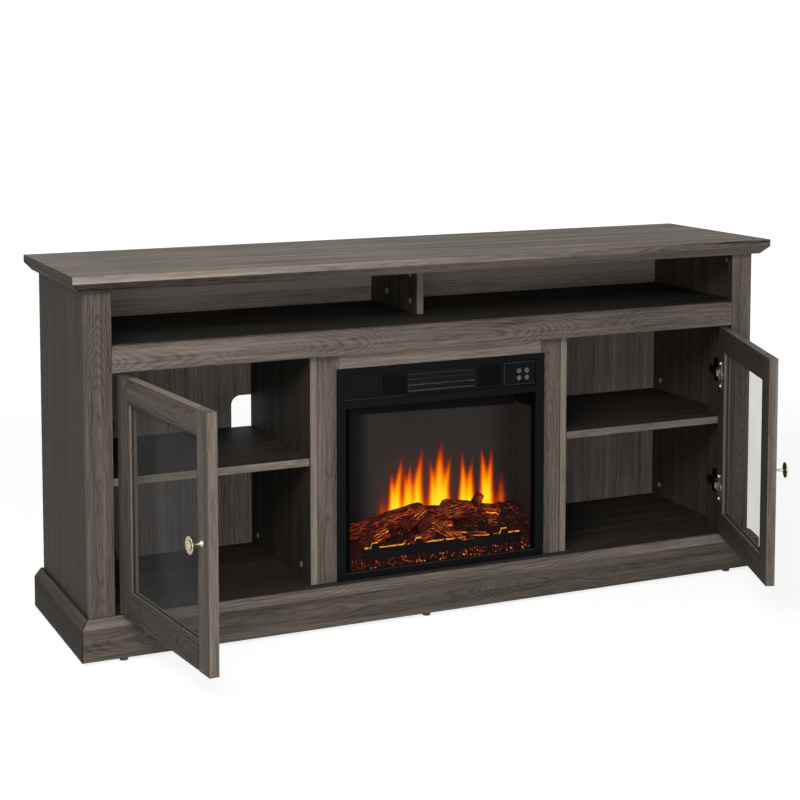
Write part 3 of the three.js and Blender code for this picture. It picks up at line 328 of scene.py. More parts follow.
def metal(name, base, rough, scratch=0.0002, metallic=1.0, shine=0.5):
    net = paint(name)
    point, _ = net.place()
    cloud = net.noise(point, 90.0, 4.0)
    fine = net.noise(point, 900.0, 2.0)
    shader = net.principled(
        Base_Color=net.ramp(cloud, [(0.3, dimmed(base, 0.86)), (0.7, base)]),
        Metallic=metallic,
        Specular_IOR_Level=shine,
        Roughness=net.scale_add(cloud, 0.18, rough - 0.09),
        Normal=net.bump(fine, scratch, 0.5),
    )
    return net.surface(shader)


def coat(name, base, rough, scratch=0.0002, shine=0.5):
    """Paint, print or plastic."""
    return metal(name, base, rough, scratch, 0.0, shine)


def pane(name, tint, gloss, glint, straight_on, edge_on, smoke, border=None):
    """Glass that mirrors straight_on to edge_on of the light, with a haze of smoke.
    A border gives the X range that its black edges leave clear."""
    net = paint(name)
    point, (x, _, _) = net.place()
    clear = net.add("ShaderNodeBsdfTransparent", {"Color": tint}).outputs[0]
    shine_inputs = {"Color": (glint, glint, glint, 1), "Roughness": gloss}
    shine = net.add("ShaderNodeBsdfGlossy", shine_inputs).outputs[0]
    haze = net.add("ShaderNodeBsdfDiffuse", {"Color": rgb(120, 122, 124)}).outputs[0]
    facing = net.add("ShaderNodeLayerWeight", {"Blend": 0.5}).outputs["Facing"]
    mirror = net.scale_add(net.math("POWER", facing, 5.0), edge_on - straight_on, straight_on)
    dusty = net.times(net.band(net.noise(point, 7.0, 3.0), 0.3, 0.7, 0.6, 1.0), smoke)
    shader = net.mix(mirror, net.mix(dusty, clear, haze), shine)
    if border:
        start, end = border
        from_start = net.band(x, start, start + 0.001)
        inside = net.times(from_start, net.band(x, end - 0.001, end, 1.0, 0.0))
        black_border = net.principled(Base_Color=rgb(3, 3, 3), Roughness=0.6, Specular_IOR_Level=0.02)
        shader = net.mix(inside, black_border, shader)
    return net.surface(shader)


# The fire: its screen, walls, flames, logs and embers
def firebox_screen():
    """A dim grey film whose colour is sent out as a painted glow, with painted shade darker at
    its sides and in a band along the top, and the fire's light painted as warmth on its middle.
    """
    net = paint("flame_screen_film")
    _, (x, _, z) = net.place()
    low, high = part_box("flame_screen")
    height = net.math("DIVIDE", net.minus(z, low.z), high.z - low.z)
    sideways = net.size(net.math("DIVIDE", x, high.x))
    # Painted shade: darker toward the left and right sides and in a band along the top.
    left = net.band(x, -0.148, -0.108, 0.1, 1.0)
    middle = net.times(left, net.band(x, 0.14, 0.215, 1.0, 0.45))
    top = net.band(net.scale_add(x, 0.06, height), 0.868, 0.876, 1.0, 0.0)
    veil = net.noise(net.vector(net.times(x, 26.0), 0.0, z), 1.0, 3.0)
    grey = net.times(net.times(middle, top), net.scale_add(veil, 0.5, 0.75))
    base = net.ramp(grey, [(0.0, rgb(4, 4, 4)), (1.0, rgb(49, 44, 40))])
    # The fire's light on the film, painted as a warm glow low in the middle.
    low_down = net.band(height, 0.28, 0.72, 1.0, 0.0)
    near = net.times(net.band(sideways, 0.1, 0.6, 1.0, 0.0), low_down)
    warm = net.ramp(near, [(0.0, rgb(0, 0, 0)), (1.0, rgb(74, 30, 10))])
    inputs = {0: 1.0, 6: base, 7: warm}
    glow = net.add("ShaderNodeMix", inputs, data_type="RGBA", blend_type="ADD")
    return net.glowing(rgb(6, 6, 6), 0.7, glow.outputs[2], 1.0)


def firebox_walls():
    """Sheet metal with the fire's light on it painted as a faint glow, redder low down and
    fading toward the glass and under the top.
    """
    net = paint("firebox_walls")
    _, (_, y, z) = net.place()
    # Painted light: the fire's glow on the walls.
    deep = net.band(y, -0.149, -0.142)
    under = net.band(z, 0.385, 0.39, 1.0, 0.0)
    low = net.band(z, 0.15, 0.25, 1.0, 0.0)
    veil = net.noise(net.vector(0.0, net.times(y, 40.0), z), 1.0, 2.0)
    strength = net.times(net.times(deep, under), net.scale_add(veil, 0.6, 0.7))
    tint = net.ramp(low, [(0.0, rgb(31, 27, 24)), (1.0, rgb(34, 20, 16))])
    return net.glowing(rgb(10, 10, 10), 0.7, tint, strength)


def flame_light():
    """Light by the mesh's own "glow" values, clear where they fade."""
    net = paint("flame_light")
    heat = net.stored("glow")
    stops = [
        (0.0, rgb(58, 8, 2)), (0.16, rgb(140, 30, 4)), (0.36, rgb(222, 78, 4)),
        (0.56, rgb(250, 136, 4)), (0.76, rgb(255, 190, 10)), (1.0, rgb(255, 230, 50)),
    ]
    inputs = {"Color": net.ramp(heat, stops), "Strength": 1.25}
    glow = net.add("ShaderNodeEmission", inputs).outputs[0]
    clear = net.add("ShaderNodeBsdfTransparent").outputs[0]
    return net.surface(net.mix(net.band(heat, 0.0, 0.5), clear, glow))


def burning_bark():
    """Dark bark with glowing cracks; "lit" says where a log burns. The faint red glow over all
    of it is the flames' light, painted.
    """
    net = paint("burning_bark")
    point, (x, y, z) = net.place()
    at = (x, y, z)
    warped = net.noise(net.stretched(at, 16.0, 95.0, 95.0), 1.0, 3.0, 0.55)
    fine = net.noise(net.stretched(at, 60.0, 420.0, 420.0), 1.0, 3.0, 0.6)
    around = net.math("ARCTAN2", z, y)
    drift = net.noise(net.vector(net.times(x, 40.0), 0.0, around), 1.0, 2.0)
    stripe = net.math("SINE", net.scale_add(around, 7.5, net.times(drift, 7.0)))
    line = net.band(net.size(stripe), 0.04, 0.3, 1.0, 0.0)
    patchy = net.band(net.noise(point, 75.0, 2.0), 0.38, 0.6)
    dull = net.times(line, net.times(patchy, 0.42))
    shell = net.stretched(at, 42.0, 130.0, 130.0)
    edges = net.cells(shell, 1.0, feature="DISTANCE_TO_EDGE")["Distance"]
    crack = net.band(edges, 0.0, 0.11, 1.0, 0.0)
    hot = net.band(net.noise(point, 46.0, 2.0), 0.42, 0.62, 0.05, 0.42)
    dull = net.math("MAXIMUM", dull, net.times(crack, hot))
    ember = net.plus(net.times(line, net.stored("lit")), dull, clamp=True)
    bark_stops = [(0.36, rgb(8, 4, 6)), (0.5, rgb(50, 21, 19)), (0.66, rgb(124, 52, 40))]
    heat_stops = [
        (0.0, rgb(30, 6, 2)), (0.2, rgb(160, 38, 8)),
        (0.5, rgb(238, 92, 12)), (0.85, rgb(255, 166, 52)),
    ]
    base = net.ramp(net.scale_add(warped, 0.35, net.times(fine, 0.65)), bark_stops)
    height = net.minus(net.times(fine, 0.6), net.times(line, 0.5))
    # The 0.25 everywhere is painted light: the flames' light on the logs as a faint glow.
    strength = net.scale_add(ember, 1.3, 0.25)
    normal = net.bump(height, 0.003, 0.9)
    return net.glowing(base, 0.85, net.ramp(ember, heat_stops), strength, 0.2, Normal=normal)


def ember_bed_glow():
    """Lumps of ash, a share of them glowing; "lit" adds to it along the front. The faint red
    glow over all of it is the flames' light, painted.
    """
    net = paint("ember_bed_glow")
    point, _ = net.place()
    lumps = net.cells(point, 190.0)
    grain = net.noise(point, 420.0, 3.0, 0.6)
    core = net.band(lumps["Distance"], 0.1, 0.6, 1.0, 0.0)
    pick = net.add("ShaderNodeSeparateColor", {0: lumps["Color"]}).outputs[0]
    chosen = net.band(pick, 0.35, 0.7)
    where = net.band(net.noise(point, 34.0, 2.0), 0.4, 0.62, 0.14, 0.62)
    ember = net.times(net.times(core, chosen), net.scale_add(net.stored("lit"), 1.2, where))
    ember = net.times(ember, net.band(grain, 0.34, 0.55), clamp=True)
    base = net.ramp(grain, [(0.35, rgb(6, 4, 5)), (0.7, rgb(66, 34, 28))])
    heat_stops = [
        (0.0, rgb(26, 5, 2)), (0.3, rgb(170, 40, 8)),
        (0.65, rgb(246, 110, 22)), (1.0, rgb(255, 206, 84)),
    ]
    # The 0.12 everywhere is painted light: the flames' light on the bed as a faint glow.
    strength = net.scale_add(ember, 1.1, 0.12)
    normal = net.bump(net.minus(grain, lumps["Distance"]), 0.004, 1.0)
    return net.glowing(base, 0.9, net.ramp(ember, heat_stops), strength, 0.2, Normal=normal)


def rim_glow():
    """The hot edge of the bed where it meets the back of the grate bar."""
    net = paint("rim_glow")
    point, (x, _, _) = net.place()
    run = net.noise(net.vector(net.times(x, 60.0), 0.0, 0.0), 1.0, 3.0, 0.6)
    fine = net.noise(point, 320.0, 2.0)
    heat = net.scale_add(fine, 0.5, net.band(run, 0.24, 0.6), clamp=True)
    stops = [
        (0.1, rgb(70, 16, 4)), (0.5, rgb(226, 80, 10)),
        (0.85, rgb(252, 136, 26)), (1.0, rgb(255, 178, 52)),
    ]
    return net.glowing(rgb(30, 12, 8), 0.9, net.ramp(heat, stops), 1.0)


champagne = rosette_brass()
nickel = metal("nickel_plate", rgb(205, 200, 188), 0.26)
zinc = metal("zinc_cam", rgb(158, 158, 154), 0.34, metallic=0.3)
galvanised = metal("galvanised_sheet", rgb(150, 152, 156), 0.42)
hinge_arm_dark_metal = metal("hinge_arm_dark_metal", rgb(44, 43, 42), 0.35)
ribbon = coat("heater_ribbon_metal", rgb(238, 236, 230), 0.4, shine=0.2)
# A darker copy of the ribbon metal: painted shade on the dim rows.
ribbon_in_painted_shade = coat("faint_ribbon_metal", rgb(140, 140, 137), 0.5, shine=0.1)
powder_coat = coat("blue_black_coat", rgb(14, 15, 18), 0.55, 0.0003, 0.06)
vent_coat = coat("vent_black_coat", rgb(17, 18, 21), 0.55, 0.0003, 0.05)
mesh_coat = coat("mesh_grey_coat", rgb(27, 28, 31), 0.5, 0.0003, 0.1)
# Trim grey, also used for painted highlight lines.
trim_and_highlight_coat = coat("trim_grey_coat", rgb(46, 48, 52), 0.45, shine=0.3)
black_plastic = coat("black_plastic", rgb(24, 24, 26), 0.45, shine=0.2)
icon_print = coat("icon_print", rgb(176, 180, 184), 0.6, 0.0001)
green_board = coat("lamp_board_green", rgb(46, 92, 60), 0.45, 0.0001)
glide_brown = coat("glide_brown", rgb(84, 62, 42), 0.5, shine=0.3)
grate_iron = coat("grate_iron", rgb(20, 19, 20), 0.65, 0.0008, 0.1)
clear_pane = pane("clear_pane", (0.918, 0.915, 0.91, 1), 0.0, 1.0, 0.0005, 0.04, 0.13)
smoked_pane = pane(
    "smoked_pane", (0.9, 0.9, 0.91, 1), 0.1, 0.3, 0.0, 1.0, 0.004, (-0.2025, 0.2075)
)
screen_film = firebox_screen()
flames = flame_light()
bark = burning_bark()
embers = ember_bed_glow()
rim = rim_glow()


# Pieces made from the frame's nodes, with rounded edges and their own grain
def still(body):
    """Where a body's own straight frame lies: a door's is its shut place turned to rest."""
    if body not in ("door_left", "door_right"):
        return Matrix.Identity(4)
    joint = hinge_of[body]
    shut = joint["range_deg"][1] if body == "door_left" else joint["range_deg"][0]
    pivot = Matrix.Translation(Vector(joint["pos_m"]))
    return pivot @ Matrix.Rotation(math.radians(-shut), 4, "Z") @ pivot.inverted()


def in_scene(name, data):
    made = bpy.data.objects.new(name, data)
    bpy.context.scene.collection.objects.link(made)
    return made


def link(name, mesh, body, place=None):
    made = in_scene(name, mesh)
    made.matrix_world = place if place is not None else still(body)
    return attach(made, body)


def add_piece(name, mesh, material, body="cabinet", place=None):
    mesh.materials.append(material)
    made = link(name, mesh, body, place)
    return made


def soften(made, width):
    bevel = made.modifiers.new("edges", "BEVEL")
    bevel.width = width
    bevel.segments = 2
    bevel.limit_method = "ANGLE"
    bevel.angle_limit = math.radians(40)
    bevel.use_clamp_overlap = True
    bevel.harden_normals = True
    for face in made.data.polygons:
        face.use_smooth = True


def finished(shape, name):
    mesh = bpy.data.meshes.new(name)
    shape.to_mesh(mesh)
    shape.free()
    return mesh


def plain_mesh(name, verts, faces):
    mesh = bpy.data.meshes.new(name)
    mesh.from_pydata(verts, [], faces)
    return mesh


def store(mesh, name, values):
    mesh.attributes.new(name, "FLOAT", "POINT").data.foreach_set("value", values)


def straight_mesh(node):
    """The node's shape in its body's straight frame, with flat faces whole again."""
    source = nodes[node].data
    shape = bmesh.new()
    corners = [shape.verts.new(v.co) for v in source.vertices]
    shape.verts.index_update()
    for polygon in source.polygons:
        try:
            shape.faces.new([corners[i] for i in polygon.vertices])
        except ValueError:  # the same face twice
            continue
    bmesh.ops.remove_doubles(shape, verts=shape.verts, dist=1e-6)
    bmesh.ops.dissolve_limit(
        shape, angle_limit=math.radians(0.5), verts=shape.verts, edges=shape.edges
    )
    bmesh.ops.transform(shape, matrix=still(body_of_node[node]).inverted(), verts=shape.verts)
    return finished(shape, node + "_look")


def corners_of(mesh):
    axes = list(zip(*(v.co for v in mesh.vertices)))
    return [min(values) for values in axes], [max(values) for values in axes]


def dress(node, material, width=0.0005):
    """The node in another finish, with its edges rounded by width."""
    made = add_piece(
        node + "_look", straight_mesh(node), material, body_of_node[node]
    )
    if width:
        soften(made, width)
    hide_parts(node)
    return made


def repaint(made, material, chosen):
    """Give another material to the faces that the test picks."""
    made.data.materials.append(material)
    last = len(made.data.materials) - 1
    for face in made.data.polygons:
        if chosen(face):
            face.material_index = last


# Each board's tone, grain, figure, arches and shade, which sets how light it is; tone and shade
# are painted light and shade, each board lighter or darker for how the light falls on it
BOARDS = {
    "top_board": ("top", "x", 0.9, 0.4, 1.24),
    "sub_top": ("dark", "x", 0.6, 0.5, 1.0),
    "cornice_front": ("face", "x", 0.6, 0.4, 0.95),
    "cornice_left": ("side", "y", 0.6, 0.4, 0.5),
    "cornice_right": ("side", "y", 0.6, 0.4, 0.5),
    "side_panel_left": ("side", "z", 1.1, 0.5, 0.61),
    "side_panel_right": ("side", "z", 1.1, 0.5, 0.61),
    "post_left": ("face", "z", 0.9, 1.2, 0.64),
    "post_right": ("face", "z", 0.8, 1.2, 0.9),
    "front_rail": ("face", "x", 1.0, 1.1, 0.9),
    "media_shelf": ("dark", "x", 0.5, 0.5, 1.25),
    "media_divider": ("inner", "z", 0.7, 0.5, 0.5),
    "divider_left": ("inner", "z", 0.8, 0.6, 0.34),
    "divider_right": ("inner", "z", 0.8, 0.6, 0.6),
    "fire_stile_left": ("face", "z", 0.9, 0.7, 0.78),
    "fire_stile_right": ("face", "z", 0.9, 0.7, 0.8),
    "fire_header": ("face", "x", 0.9, 0.7, 1.32),
    "bottom_panel": ("shelf", "x", 0.6, 0.5, 1.2),
    "plinth_front": ("face", "x", 0.9, 0.8, 0.61),
    "plinth_left": ("side", "y", 0.8, 0.7, 0.34),
    "plinth_right": ("side", "y", 0.8, 0.7, 0.34),
    "shelf_left": ("shelf", "x", 0.6, 0.5, 1.15),
    "shelf_right": ("shelf", "x", 0.6, 0.5, 1.15),
    "back_panel": ("back", "z", 1.0, 1.0, 0.98),
}
# Painted shade on each door piece: darker toward the bottom rail and the hinge stile.
DOOR_SHADES = {"hinge_stile": 0.48, "free_stile": 0.72, "top_rail": 0.62, "bottom_rail": 0.44}
BANDED = (
    "shelf_left", "shelf_right", "bottom_panel", "media_divider", "divider_left",
    "divider_right", "top_board",
)
# How light the edge tone is: painted light on the top board's nose, the left shelf's edge and
# the doors' reveals.
BAND_SHADES = {"top_board": 1.22, "shelf_left": 1.15}
DOOR_BAND_SHADE = 0.65
MITRED = {"plinth_front", "plinth_left", "plinth_right"}
MITRE_CORNER = (0.752, -0.1985)

# Lifts: an axis, where the change starts and ends along it, and its value at either end. The
# cornice is painted darker toward the left and the top board's nose darker toward the right, as
# painted shade.
CORNICE_PAINTED_SHADE = (("X", -0.7, 0.5, -0.27, 0.1),)
NOSE_PAINTED_SHADE = (("X", -0.1, 0.7, 0.04, -0.3),)
# The back is painted lighter above 0.54 m, as painted light in the media compartment, and
# lighter again above 0.617 m.
BACK_LIFTS = (("Z", 0.54, 0.58, 0.0, 0.17), ("Z", 0.617, 0.619, 0.0, 0.2))
BACK_LEVEL_GRAIN = 0.56
BATTEN_FRONT = -0.168
GLIDE_TOP = 0.0062
ARM_FRONT = -0.138
FACING = 0.8  # how squarely a face looks one way


def grained(made, node, tone, grain, seed, figure, arches, shade):
    """Grain along the piece, and other tones for its banded, inner and rear faces: painted light
    on its banded edges, outer edges and chamfers, painted shade on its rear, inner and end
    faces.
    """
    low, high = corners_of(made.data)
    centre = [(a + b) / 2 for a, b in zip(low, high)]

    def cut(ending, **changes):
        own = dict(tone=tone, grain=grain, seed=seed, figure=figure, arches=arches, shade=shade)
        return wood(node + ending, centre, **{**own, **changes})

    made.data.materials.clear()
    mitre = MITRE_CORNER if node in MITRED else None
    lifts = CORNICE_PAINTED_SHADE if node == "cornice_front" else ()
    made.data.materials.append(cut("_wood", mitre=mitre, lifts=lifts))
    toward = edge_side(node)
    if toward is not None:
        # The banded edge in the lighter edge tone: painted light.
        level = BAND_SHADES.get(node, DOOR_BAND_SHADE if node.startswith("door_") else 1.0)
        lifts = NOSE_PAINTED_SHADE if node == "top_board" else ()
        band = cut(
            "_band", tone="edge", seed=seed + 50, figure=figure * 0.6, shade=level, lifts=lifts
        )
        repaint(made, band, lambda face: face.normal.dot(toward) > FACING)
    if node == "top_board":
        # The top board's ends in a darker tone: painted shade.
        end = cut("_end", tone="side", grain="y", seed=seed + 60, figure=0.4, shade=0.7)
        repaint(made, end, lambda face: abs(face.normal.x) > FACING)
    if node.startswith("door_"):
        # A door's back in a darker tone: painted shade.
        rear = cut("_rear", tone="rear", seed=seed + 70, figure=0.5, shade=1.0)
        repaint(made, rear, lambda face: face.normal.y > FACING)
        # A door piece's outer edge, lighter on the top rail's upper edge: painted light.
        edge_tone, level = ("edge", 0.9) if node.endswith("top_rail") else (tone, 1.05)
        outer = cut(
            "_outer", tone=edge_tone, seed=seed + 90, figure=0.3, arches=0.3, shade=level
        )
        repaint(made, outer, lambda face: face.normal.dot(toward) < -FACING)
    if node.startswith("post"):
        # The post's battens inside the bay in a darker tone: painted shade.
        rear = cut("_rear", tone="rear", seed=seed + 70, figure=0.5, shade=0.7)
        repaint(made, rear, lambda face: face.center.y > BATTEN_FRONT)
    if node in MITRED:
        # The plinth's chamfers lighter than its faces: painted light on the faces turned up.
        level = shade * (1.6 if node == "plinth_front" else 2.5)
        slope = cut("_slope", seed=seed + 80, shade=level, mitre=mitre)
        repaint(made, slope, lambda face: 0.2 < face.normal.z < 0.95)
    if node == "back_panel":
        front = cut("_front", lifts=BACK_LIFTS, level_above=BACK_LEVEL_GRAIN)
        repaint(made, front, lambda face: face.normal.y < -FACING)
    if node.startswith("side_panel"):
        repaint(made, glide_brown, lambda face: face.center.z < GLIDE_TOP)


def edge_side(node):
    """The way a board's banded edge faces: front, or toward the pane on a door."""
    if node in BANDED:
        return Vector((0, -1, 0))
    if not node.startswith("door_"):
        return None
    if node.endswith("rail"):
        return Vector((0, 0, -1 if node.endswith("top_rail") else 1))
    inward = 1 if ("left" in node) == node.endswith("hinge_stile") else -1
    return Vector((inward, 0, 0))


def dress_boards():
    for i, (node, (tone, grain, figure, arches, shade)) in enumerate(BOARDS.items()):
        grained(dress(node, None), node, tone, grain, i + 1, figure, arches, shade)
    for i, side in enumerate(SIDES):
        for j, (part, shade) in enumerate(DOOR_SHADES.items()):
            node = f"door_{side}_{part}"
            grain = "z" if part.endswith("stile") else "x"
            grained(dress(node, None), node, "face", grain, 31 + 7 * i + j, 1.1, 0.9, shade)


def dress_fittings():
    for side, way in zip(SIDES, (1, -1)):
        dress(f"door_{side}_glass", clear_pane, 0)
        for level in ("upper", "lower"):
            dress(f"hinge_cup_{side}_{level}", nickel, 0.0003)
            # The arms are a dark metal, with nickel on the front faces turned toward the
            # cabinet's middle.
            arm = dress(f"hinge_arm_{side}_{level}", hinge_arm_dark_metal, 0.0004)
            repaint(
                arm, nickel, lambda face: face.center.y < ARM_FRONT and face.normal.x * way > 0.3
            )
    dress("insert_bezel", powder_coat, 0.0006)
    dress("insert_glass", smoked_pane, 0)
    dress("insert_shell", firebox_walls(), 0)
    dress("flame_screen", screen_film, 0)
    dress("flame_rotor", galvanised, 0)
    dress("rotor_motor", black_plastic)
    dress("led_board", green_board, 0)
    dress("blower_wheel", galvanised, 0)
    dress("heater_element", mesh_coat, 0)
    dress("centre_leg", black_plastic, 0.0006)


dress_boards()
dress_fittings()


# Meshes from rings of points
def ring_mesh(name, rings, closed=True):
    """A skin over the rings; closed ones go all the way round and have both ends shut."""
    shape = bmesh.new()
    made = [[shape.verts.new(p) for p in ring] for ring in rings]
    count = len(rings[0])
    for low, high in zip(made, made[1:]):
        for i in range(count if closed else count - 1):
            j = (i + 1) % count
            shape.faces.new((low[i], low[j], high[j], high[i]))
    if closed:
        shape.faces.new(list(reversed(made[0])))
        shape.faces.new(made[-1])
    bmesh.ops.recalc_face_normals(shape, faces=shape.faces)
    mesh = finished(shape, name)
    for face in mesh.polygons:
        face.use_smooth = True
    return mesh


def turns(count):
    return [2 * math.pi * i / count for i in range(count)]


# Knobs: collar, waisted stem and a rosette with petals, as radius, reach and scallop
KNOB_PROFILE = [
    (0.0060, 0.0001, 0), (0.0060, 0.0012, 0), (0.0054, 0.0022, 0), (0.0040, 0.0032, 0),
    (0.0030, 0.0055, 0), (0.0028, 0.0110, 0), (0.0030, 0.0165, 0), (0.0042, 0.0200, 0),
    (0.0080, 0.0214, 0.2), (0.0152, 0.0222, 1), (0.0158, 0.0233, 1), (0.0154, 0.0243, 1),
    (0.0128, 0.0241, 1), (0.0103, 0.0235, 0.8), (0.0084, 0.0231, 0.3), (0.0078, 0.0241, 0),
    (0.0066, 0.0250, 0), (0.0052, 0.0247, 0), (0.0046, 0.0254, 0), (0.0030, 0.0264, 0),
    (0.0009, 0.0269, 0),
]
SCALLOP_DEPTH = 0.0011


def add_knobs():
    rings = []
    for radius, out, scallop in KNOB_PROFILE:
        ring = []
        for turn in turns(96):
            petal = abs(math.cos(turn * ROSETTE_PETALS / 2))
            r = radius - SCALLOP_DEPTH * scallop * (1 - petal)
            lift = SCALLOP_DEPTH * 0.5 * scallop * petal
            ring.append((r * math.cos(turn), -(out + lift), r * math.sin(turn)))
        rings.append(ring)
    for side in SIDES:
        body, node = f"door_{side}", f"door_{side}_knob"
        low, high = corners_of(straight_mesh(node))
        centre = Vector(((low[0] + high[0]) / 2, high[1] + 0.0003, (low[2] + high[2]) / 2))
        place = still(body) @ Matrix.Translation(centre)
        mesh = ring_mesh(node + "_look", rings)
        made = add_piece(node + "_look", mesh, champagne, body, place)
        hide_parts(node)


# Cam fittings: dished discs on the faces of the panels, as radius and reach, at Y and Z
CAM_PROFILE = [
    (0.0062, 0.0), (0.0060, 0.0007), (0.0050, 0.0009), (0.0046, 0.0004), (0.0012, 0.0004)
]
SIDE_CAMS = ((0.146, 0.357), (0.146, 0.109), (-0.112, 0.668))
BAY_CAMS = ((0.138, 0.107), (-0.111, 0.112))
SIDE_THICK, DIVIDER_THICK = 0.0157, 0.0159  # less a little, to let the cams in
MEDIA_CAMS = ((-0.023, 0.610), (-0.023, 0.666), (0.094, 0.617))


def cam(name, x, y, z, facing):
    rings = [
        [(facing * out, radius * math.cos(turn), radius * math.sin(turn)) for turn in turns(32)]
        for radius, out in CAM_PROFILE
    ]
    place = Matrix.Translation((x, y, z))
    add_piece(name, ring_mesh(name, rings), zinc, "cabinet", place)


def add_cams():
    side_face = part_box("side_panel_right")[1].x - SIDE_THICK
    bay_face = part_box("fire_stile_right")[1].x + DIVIDER_THICK
    media_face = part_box("media_divider")[1].x
    for name, sign in zip(SIDES, (-1, 1)):
        for i, (y, z) in enumerate(SIDE_CAMS):
            cam(f"cam_side_{name}_{i}", sign * side_face, y, z, -sign)
        for i, (y, z) in enumerate(BAY_CAMS):
            cam(f"cam_bay_{name}_{i}", sign * bay_face, y, z, sign)
    for i, (y, z) in enumerate(MEDIA_CAMS):
        cam(f"cam_media_{i}", -media_face, y, z, -1)


# Keys with printed icons
def strip(points, width, y):
    """A flat printed line through points in the XZ plane."""
    faces = []
    verts = []
    for (x0, z0), (x1, z1) in zip(points, points[1:]):
        run = math.hypot(x1 - x0, z1 - z0) or 1
        nx, nz = -(z1 - z0) / run * width / 2, (x1 - x0) / run * width / 2
        base = len(verts)
        verts += [(x0 + nx, y, z0 + nz), (x0 - nx, y, z0 - nz)]
        verts += [(x1 - nx, y, z1 - nz), (x1 + nx, y, z1 + nz)]
        faces.append((base, base + 1, base + 2, base + 3))
    return verts, faces


def arc(radius, start, end, steps=14, middle=(0, 0)):
    angles = [math.radians(start + (end - start) * i / steps) for i in range(steps + 1)]
    return [(middle[0] + radius * math.cos(t), middle[1] + radius * math.sin(t)) for t in angles]


def icon_line(*points):
    return [(x / 10000, z / 10000) for x, z in points]


ICONS = {
    "power": [arc(0.0020, 125, 415), icon_line((0, 8), (0, 28))],
    "flame": [icon_line((0, 28), (17, 4), (14, -16), (0, -24), (-14, -16), (-17, 4), (0, 28))],
    "heat": [
        arc(0.0011, 60, 480, 14, (0, -0.0014)),
        icon_line((-6, -6), (-6, 26), (6, 26), (6, -6)),
    ],
    "timer": [arc(0.0022, 0, 360), icon_line((0, 13), (0, 0), (12, 0))],
}
KEY_RING = arc(0.0037, 0, 360, 28)
ICON_SCALE = 1.15
PRINT_WIDTH = 0.00046
PRINT_REACH = 0.00004


def add_buttons():
    for name, lines in ICONS.items():
        node = f"button_{name}"
        dress(node, black_plastic, 0.0003)
        low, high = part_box(node)
        x, z = (low.x + high.x) / 2, (low.z + high.z) / 2
        verts, faces = [], []
        for line in [*lines, KEY_RING]:
            v, f = strip(line, PRINT_WIDTH, low.y - PRINT_REACH)
            faces += [tuple(i + len(verts) for i in face) for face in f]
            verts += [(a * ICON_SCALE + x, b, c * ICON_SCALE + z) for a, b, c in v]
        mesh = plain_mesh(node + "_icon", verts, faces)
        add_piece(node + "_icon", mesh, icon_print, node)


# Vent strip: bars between slots, a fine lattice before the heater, and a raised key field
GRILLE_REACH, GRILLE_HALF = 0.078, 0.0215
SLOT_START, SLOT_PITCH, SLOT_WIDTH, SLOT_COUNT, SLOT_HALF = 0.081, 0.0044, 0.0022, 12, 0.021
LATTICE, WIRE = 0.00235, 0.00036
# Each row: lattice opening, half height, and whether bright; the dim rows are painted shade.
RIBBON_ROWS = ((1, 0.0009, True), (6, 0.0009, True), (11, 0.0008, False), (15, 0.0008, False))
CREST_WIDTH = 0.0017


def boxes_mesh(name, boxes):
    verts, faces = [], []
    for low, high in boxes:
        base = len(verts)
        xs, ys, zs = zip(low, high)
        verts += [(x, y, z) for x in xs for y in ys for z in zs]
        for face in (
            (0, 1, 3, 2), (4, 6, 7, 5), (0, 4, 5, 1), (2, 3, 7, 6), (0, 2, 6, 4), (1, 5, 7, 3)
        ):
            faces.append(tuple(base + i for i in face))
    return plain_mesh(name, verts, faces)


def add_vent_strip():
    low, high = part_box("insert_vent_panel")
    middle = (low.z + high.z) / 2
    front, back = low.y, high.y
    z0, z1 = middle - SLOT_HALF, middle + SLOT_HALF
    boxes = [
        ((low.x, front, z1), (high.x, back, high.z)),
        ((low.x, front, low.z), (high.x, back, z0)),
    ]
    last = SLOT_START + (SLOT_COUNT - 1) * SLOT_PITCH + SLOT_WIDTH
    spans = [(last, high.x), (GRILLE_REACH, SLOT_START)]
    for i in range(SLOT_COUNT - 1):
        bar = SLOT_START + i * SLOT_PITCH + SLOT_WIDTH
        spans.append((bar, bar + SLOT_PITCH - SLOT_WIDTH))
    for sign in (-1, 1):
        for span in spans:
            x0, x1 = sorted(sign * x for x in span)
            boxes.append(((x0, front, z0), (x1, back, z1)))
    made = add_piece("vent_strip", boxes_mesh("vent_strip", boxes), vent_coat)
    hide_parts("insert_vent_panel")
    add_lattice(middle - GRILLE_HALF, middle + GRILLE_HALF, front + 0.0012)
    add_key_field(middle, front)


def add_lattice(z0, z1, y):
    """Upright wires with level ones before them."""
    boxes = []
    for i in range(int(2 * GRILLE_REACH / LATTICE) + 1):
        x = -GRILLE_REACH + i * LATTICE
        boxes.append(((x - WIRE, y, z0), (x + WIRE, y + 0.0006, z1)))
    for i in range(int((z1 - z0) / LATTICE) + 1):
        z = z0 + i * LATTICE
        level = (GRILLE_REACH, y + 0.0002, z + WIRE)
        boxes.append(((-GRILLE_REACH, y - 0.0005, z - WIRE), level))
    mesh = boxes_mesh("grille_lattice", boxes)
    add_piece("grille_lattice", mesh, mesh_coat)
    add_ribbon_rows(z0, y + 0.0012)


